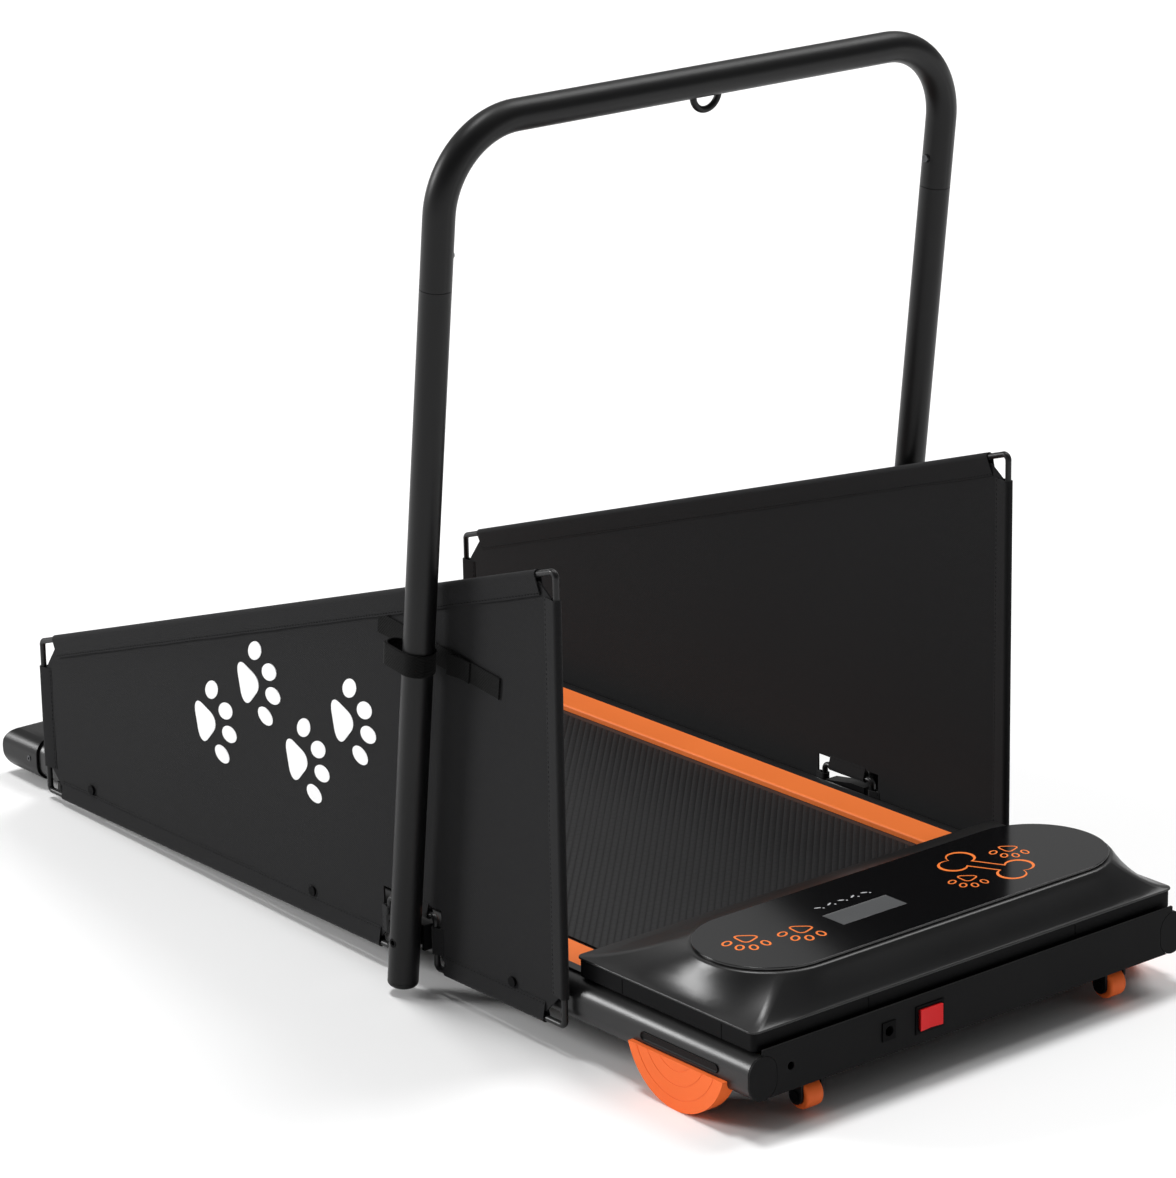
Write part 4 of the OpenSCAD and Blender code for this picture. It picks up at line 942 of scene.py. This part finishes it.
def make_panel(side, word):
    bm = bmesh.new()
    panel_field(bm, side)
    field = finished_mesh("panel_field_" + word, bm)
    apply(field, "SOLIDIFY", thickness=CLOTH, offset=0)
    bm = bmesh.new()
    for edge in EDGES:
        sew_hem(bm, edge, side)
    piece = finished_mesh("panel_cloth_" + word + "_sewn", bm)
    only(piece, field)
    bpy.ops.object.join()
    piece.data.transform(STAND)
    smooth(piece, CLOTH_SHARP)
    seat(piece, "frame", "panel_fabric", stands_for=["panel_cloth_" + word])
    thread = sew_stitches(side, word)
    flat_cut_area()


for side, word in ((-1, "left"), (1, "right")):
    make_panel(side, word)

# Straps: webbing on the panels and round the posts, drawn in the gantry's own frame as (x, y)
PIVOT = (0, -0.1551, 0.0687)
LEAN = 6.75
ON_GANTRY = STAND @ Matrix.Translation(PIVOT) @ Matrix.Rotation(math.radians(LEAN), 4, "X")
POST = (0.3284, 0)
POST_R = 0.016
# Height along the posts, width, thickness, length, and the edges' round as a share of the thickness
STRAP_RISE, STRAP_W, STRAP_T, STRAP_LEN, STRAP_ROUND_SHARE = 0.309, 0.023, 0.0018, 0.196, 0.3
# Band sewn on the panel: its steps, and the lift of its ends and how far that reaches
BAND_X = PANEL_X + CLOTH / 2 + STRAP_T / 2
BAND_STEPS, END_LIFT, END_REACH = 40, 0.0005, 0.006
# Tabs from the band out to the loop: where they are sewn down, then how far they run and rise
TAB_SEWN = (0.052, 0.046, 0.040)
TAB_RUN, TAB_RISE, TAB_STEPS = 0.018, 0.0042, 8
# Loop: its play round the post, and the middle and radius of its loose end behind the post
LOOP_PLAY = 0.0003
LOOP_R = POST_R + LOOP_PLAY + STRAP_T / 2
SLACK_OUT, SLACK_BACK, SLACK_R = 0.006, 0.027, 0.0105
SLACK = (POST[0] + SLACK_OUT, SLACK_BACK)
# Stretches of the loop and of the tail that laps over it, as start and end in degrees and steps
LOOP_BACK, LOOP_FRONT = (8, 172, 18), (184, 352, 18)
TAIL_FRONT, TAIL_BACK = (290, 352, 8), (8, 50, 6)


def web(bm, path, closed, side):
    """Sweeps a flat web with rounded edges along a path."""
    w, t, r = STRAP_W / 2, STRAP_T / 2, STRAP_T * STRAP_ROUND_SHARE
    section = [(-t, -w + r), (-t + r, -w), (t - r, -w), (t, -w + r),
               (t, w - r), (t - r, w), (-t + r, w), (-t, w - r)]
    rows, count = [], len(path)
    for k, point in enumerate(path):
        before = path[k - 1] if closed or k else point
        after = path[(k + 1) % count] if closed or k < count - 1 else point
        along = (after - before).normalized()
        out = Vector((along.y, -along.x))
        row = []
        for n, z in section:
            place = ON_GANTRY @ Vector((point.x + out.x * n, point.y + out.y * n, STRAP_RISE + z))
            row.append(bm.verts.new((side * place.x, place.y, place.z)))
        rows.append(row)
    skin_rows(bm, rows, closed)
    if not closed:
        cap_rows(bm, rows)


def arc(centre, radius, start, end, steps):
    angles = [math.radians(start + (end - start) * i / steps) for i in range(steps + 1)]
    return [Vector((centre[0] + radius * math.cos(a), centre[1] + radius * math.sin(a))) for a in angles]


def band_path():
    half, path = STRAP_LEN / 2, []
    for k in range(BAND_STEPS + 1):
        y = -half + STRAP_LEN * k / BAND_STEPS
        lift = END_LIFT * math.exp(-((half - abs(y)) / END_REACH) ** 2)
        path.append(Vector((BAND_X + lift, y)))
    return path


def tab_path(way):
    path = [Vector((BAND_X + STRAP_T, way * y)) for y in TAB_SEWN]
    for s in (i / TAB_STEPS for i in range(1, TAB_STEPS + 1)):
        rise = TAB_RISE * s * s * (3 - 2 * s)
        path.append(Vector((BAND_X + STRAP_T + rise, way * (TAB_SEWN[-1] - TAB_RUN * s))))
    return path


def make_straps():
    bands, loops = bmesh.new(), bmesh.new()
    for side in (-1, 1):
        web(bands, band_path(), False, side)
        for way in (-1, 1):
            web(bands, tab_path(way), False, side)
        web(loops, arc(SLACK, SLACK_R, *LOOP_BACK) + arc(POST, LOOP_R, *LOOP_FRONT), True, side)
        tail = arc(POST, LOOP_R + STRAP_T, *TAIL_FRONT) + arc(SLACK, SLACK_R + STRAP_T, *TAIL_BACK)
        web(loops, tail, False, side)
    for bm, name, body, nodes in ((bands, "strap_bands_web", "frame", ["strap_bands"]),
                                  (loops, "strap_loops_web", "gantry", ["strap_loops"])):
        piece = finished_mesh(name, bm)
        smooth(piece, CLOTH_SHARP)
        seat(piece, body, "strap_web", stands_for=nodes)


make_straps()

# Printed marks: flat shapes drawn on a plane, given a little thickness and laid on a surface.
# A paw, in shares of its size: each toe's place and its lean in degrees, the toes' and the pad's radii,
# the pad's drop, and the round of the pad's corners
TOES = ((-0.40, 0.10, 26), (-0.145, 0.33, 8), (0.145, 0.33, -8), (0.40, 0.10, -26))
TOE_SHARES, PAD_SHARES, PAD_DROP_SHARE = (0.105, 0.15), (0.40, 0.34), 0.17
PAD_ROUND_SHARE, PAD_ROUND_STEPS = 0.62, 9
DISC_SIDES, KNOB_SIDES = 32, 40
# How far a bone's knobs lie from its middle line, as a share of their radius
KNOB_SHARE = 0.82


def round_start(corners, centre, turn):
    bpy.ops.object.select_all(action="DESELECT")
    bpy.ops.mesh.primitive_circle_add(vertices=corners, radius=1, fill_type="NGON", location=(*centre, 0),
                                      rotation=(0, 0, math.radians(turn)))
    return bpy.context.object


def sized(piece, wide, tall):
    only(piece)
    piece.scale = (wide, tall, 1)
    bpy.ops.object.transform_apply(location=True, rotation=True, scale=True)
    return piece


def disc(centre, wide, tall, turn=0.0):
    """A filled round shape with its two radii."""
    return sized(round_start(DISC_SIDES, centre, turn), wide, tall)


def pad(centre, wide, tall, turn):
    """A triangle with round corners, its point upwards."""
    piece = round_start(3, centre, turn)
    pick_all(piece)
    bpy.ops.mesh.bevel(offset=PAD_ROUND_SHARE, segments=PAD_ROUND_STEPS, affect="VERTICES")
    leave_edit()
    return sized(piece, wide, tall)


def paw(centre, turn, size):
    """A pad and four toes, toes upwards before the turn."""
    c, s = math.cos(math.radians(turn)), math.sin(math.radians(turn))

    def at(x, y):
        return (centre[0] + size * (x * c - y * s), centre[1] + size * (x * s + y * c))

    toe_wide, toe_tall = (share * size for share in TOE_SHARES)
    pad_wide, pad_tall = (share * size for share in PAD_SHARES)
    shapes = [pad(at(0, -PAD_DROP_SHARE), pad_wide, pad_tall, turn)]
    return shapes + [disc(at(x, y), toe_wide, toe_tall, turn + lean) for x, y, lean in TOES]


def paws(places, turn, size):
    """Several paws as one shape."""
    shapes = []
    for place in places:
        shapes += paw(place, turn, size)
    return joined(shapes)


def outlined(piece, line):
    """Leaves only a line of some width along the inside of each shape's edge."""
    pick_all(piece)
    bpy.ops.mesh.inset(thickness=line, use_individual=True)
    bpy.ops.mesh.delete(type="FACE")
    leave_edit()
    return piece


def bone_slab(length, shaft, knob, thick):
    """A bone: a bar and four knobs, made one."""
    bpy.ops.object.select_all(action="DESELECT")
    bpy.ops.mesh.primitive_cube_add(size=1, scale=(length, shaft, thick))
    bone = joined([bpy.context.object])
    for end in (-1, 1):
        for up in (-1, 1):
            bpy.ops.object.select_all(action="DESELECT")
            bpy.ops.mesh.primitive_cylinder_add(vertices=KNOB_SIDES, radius=knob, depth=thick,
                                                location=(end * length / 2, up * knob * KNOB_SHARE, 0))
            round_end = joined([bpy.context.object])
            apply(bone, "BOOLEAN", object=round_end, operation="UNION")
            bpy.data.objects.remove(round_end)
    return bone


def laid(name, piece, finish, place, across, up, thick=None):
    """Lays a drawn shape on a surface: place is its origin, across and up the two directions."""
    piece.name = name
    if thick:
        apply(piece, "SOLIDIFY", thickness=thick, offset=0)
    across, up = Vector(across), Vector(up)
    matrix = Matrix((across, up, across.cross(up))).transposed().to_4x4()
    matrix.translation = Vector(place)
    piece.data.transform(STAND @ matrix)
    pick_all(piece)
    bpy.ops.mesh.normals_make_consistent(inside=False)
    leave_edit()
    seat(piece, "frame", finish)


# Console marks, in metres on the overlay: places and sizes, and turns in degrees
OVERLAY_TOP, INK = 0.1455, 0.00016
PAW_TURN = 141
KEY_PLACES, KEY_SIZE, KEY_LINE = ((-0.2015, -0.5345), (-0.1455, -0.5520)), 0.047, 0.0021
PAW_PLACES, PAW_SIZE, PAW_LINE_SHARE = ((0.070, -0.560), (0.158, -0.528)), 0.040, 0.8
BONE_PLACE, BONE_TURN = (0.112, -0.5425, OVERLAY_TOP), -62
BONE_LEN, BONE_SHAFT, BONE_KNOB = 0.062, 0.017, 0.0155
STATUS_START, STATUS_STEP, STATUS_COUNT = (-0.0915, -0.5155), 0.0155, 5
# A status mark: a dash that leans either way, and a dot beside it
DASH_LONG, DASH_R, DASH_LEAN, DOT_SHIFT = 0.0036, 0.0011, 25, (0.0045, -0.004)


def on_overlay(name, piece, finish):
    laid(name, piece, finish, (0, 0, OVERLAY_TOP), (1, 0, 0), (0, 1, 0), INK)


def console_bone():
    bone = bone_slab(BONE_LEN, BONE_SHAFT, BONE_KNOB, INK)
    core = bone_slab(BONE_LEN, BONE_SHAFT - 2 * KEY_LINE, BONE_KNOB - KEY_LINE, 4 * INK)
    apply(bone, "BOOLEAN", object=core, operation="DIFFERENCE")
    bpy.data.objects.remove(core)
    turn = math.radians(BONE_TURN)
    across, up = (math.cos(turn), math.sin(turn), 0), (-math.sin(turn), math.cos(turn), 0)
    laid("console_bone", bone, "orange_print", BONE_PLACE, across, up)


def console_marks():
    """Two key marks, a bone with two paws, and a row of status marks."""
    on_overlay("key_marks", outlined(paws(KEY_PLACES, PAW_TURN, KEY_SIZE), KEY_LINE), "orange_print")
    beside = outlined(paws(PAW_PLACES, PAW_TURN, PAW_SIZE), KEY_LINE * PAW_LINE_SHARE)
    on_overlay("console_paws", beside, "orange_print")
    console_bone()
    marks = []
    for k in range(STATUS_COUNT):
        x, y = STATUS_START[0] + STATUS_STEP * k, STATUS_START[1]
        marks.append(disc((x, y), DASH_LONG, DASH_R, DASH_LEAN if k % 2 else -DASH_LEAN))
        marks.append(disc((x + DOT_SHIFT[0], y + DOT_SHIFT[1]), DASH_R, DASH_R))
    on_overlay("status_marks", joined(marks), "grey_print")


console_marks()

# Print on the left panel, in metres: thickness, middle, and each paw's place along to the front and up
PRINT_T = 0.001
PRINT_PLACE = (-PANEL_X - CLOTH / 2, 0.0935, 0.214)
TRAIL = ((-0.118, -0.012), (-0.035, 0.052), (0.048, -0.012), (0.131, 0.052))
TRAIL_TURN, TRAIL_SIZE = -78, 0.088


def panel_print():
    """A trail of white paws on the left panel's outer face, seen from outside: across is to the front."""
    trail = paws(TRAIL, TRAIL_TURN, TRAIL_SIZE)
    laid("panel_paws", trail, "white_print", PRINT_PLACE, (0, -1, 0), (0, 0, 1), PRINT_T)


panel_print()
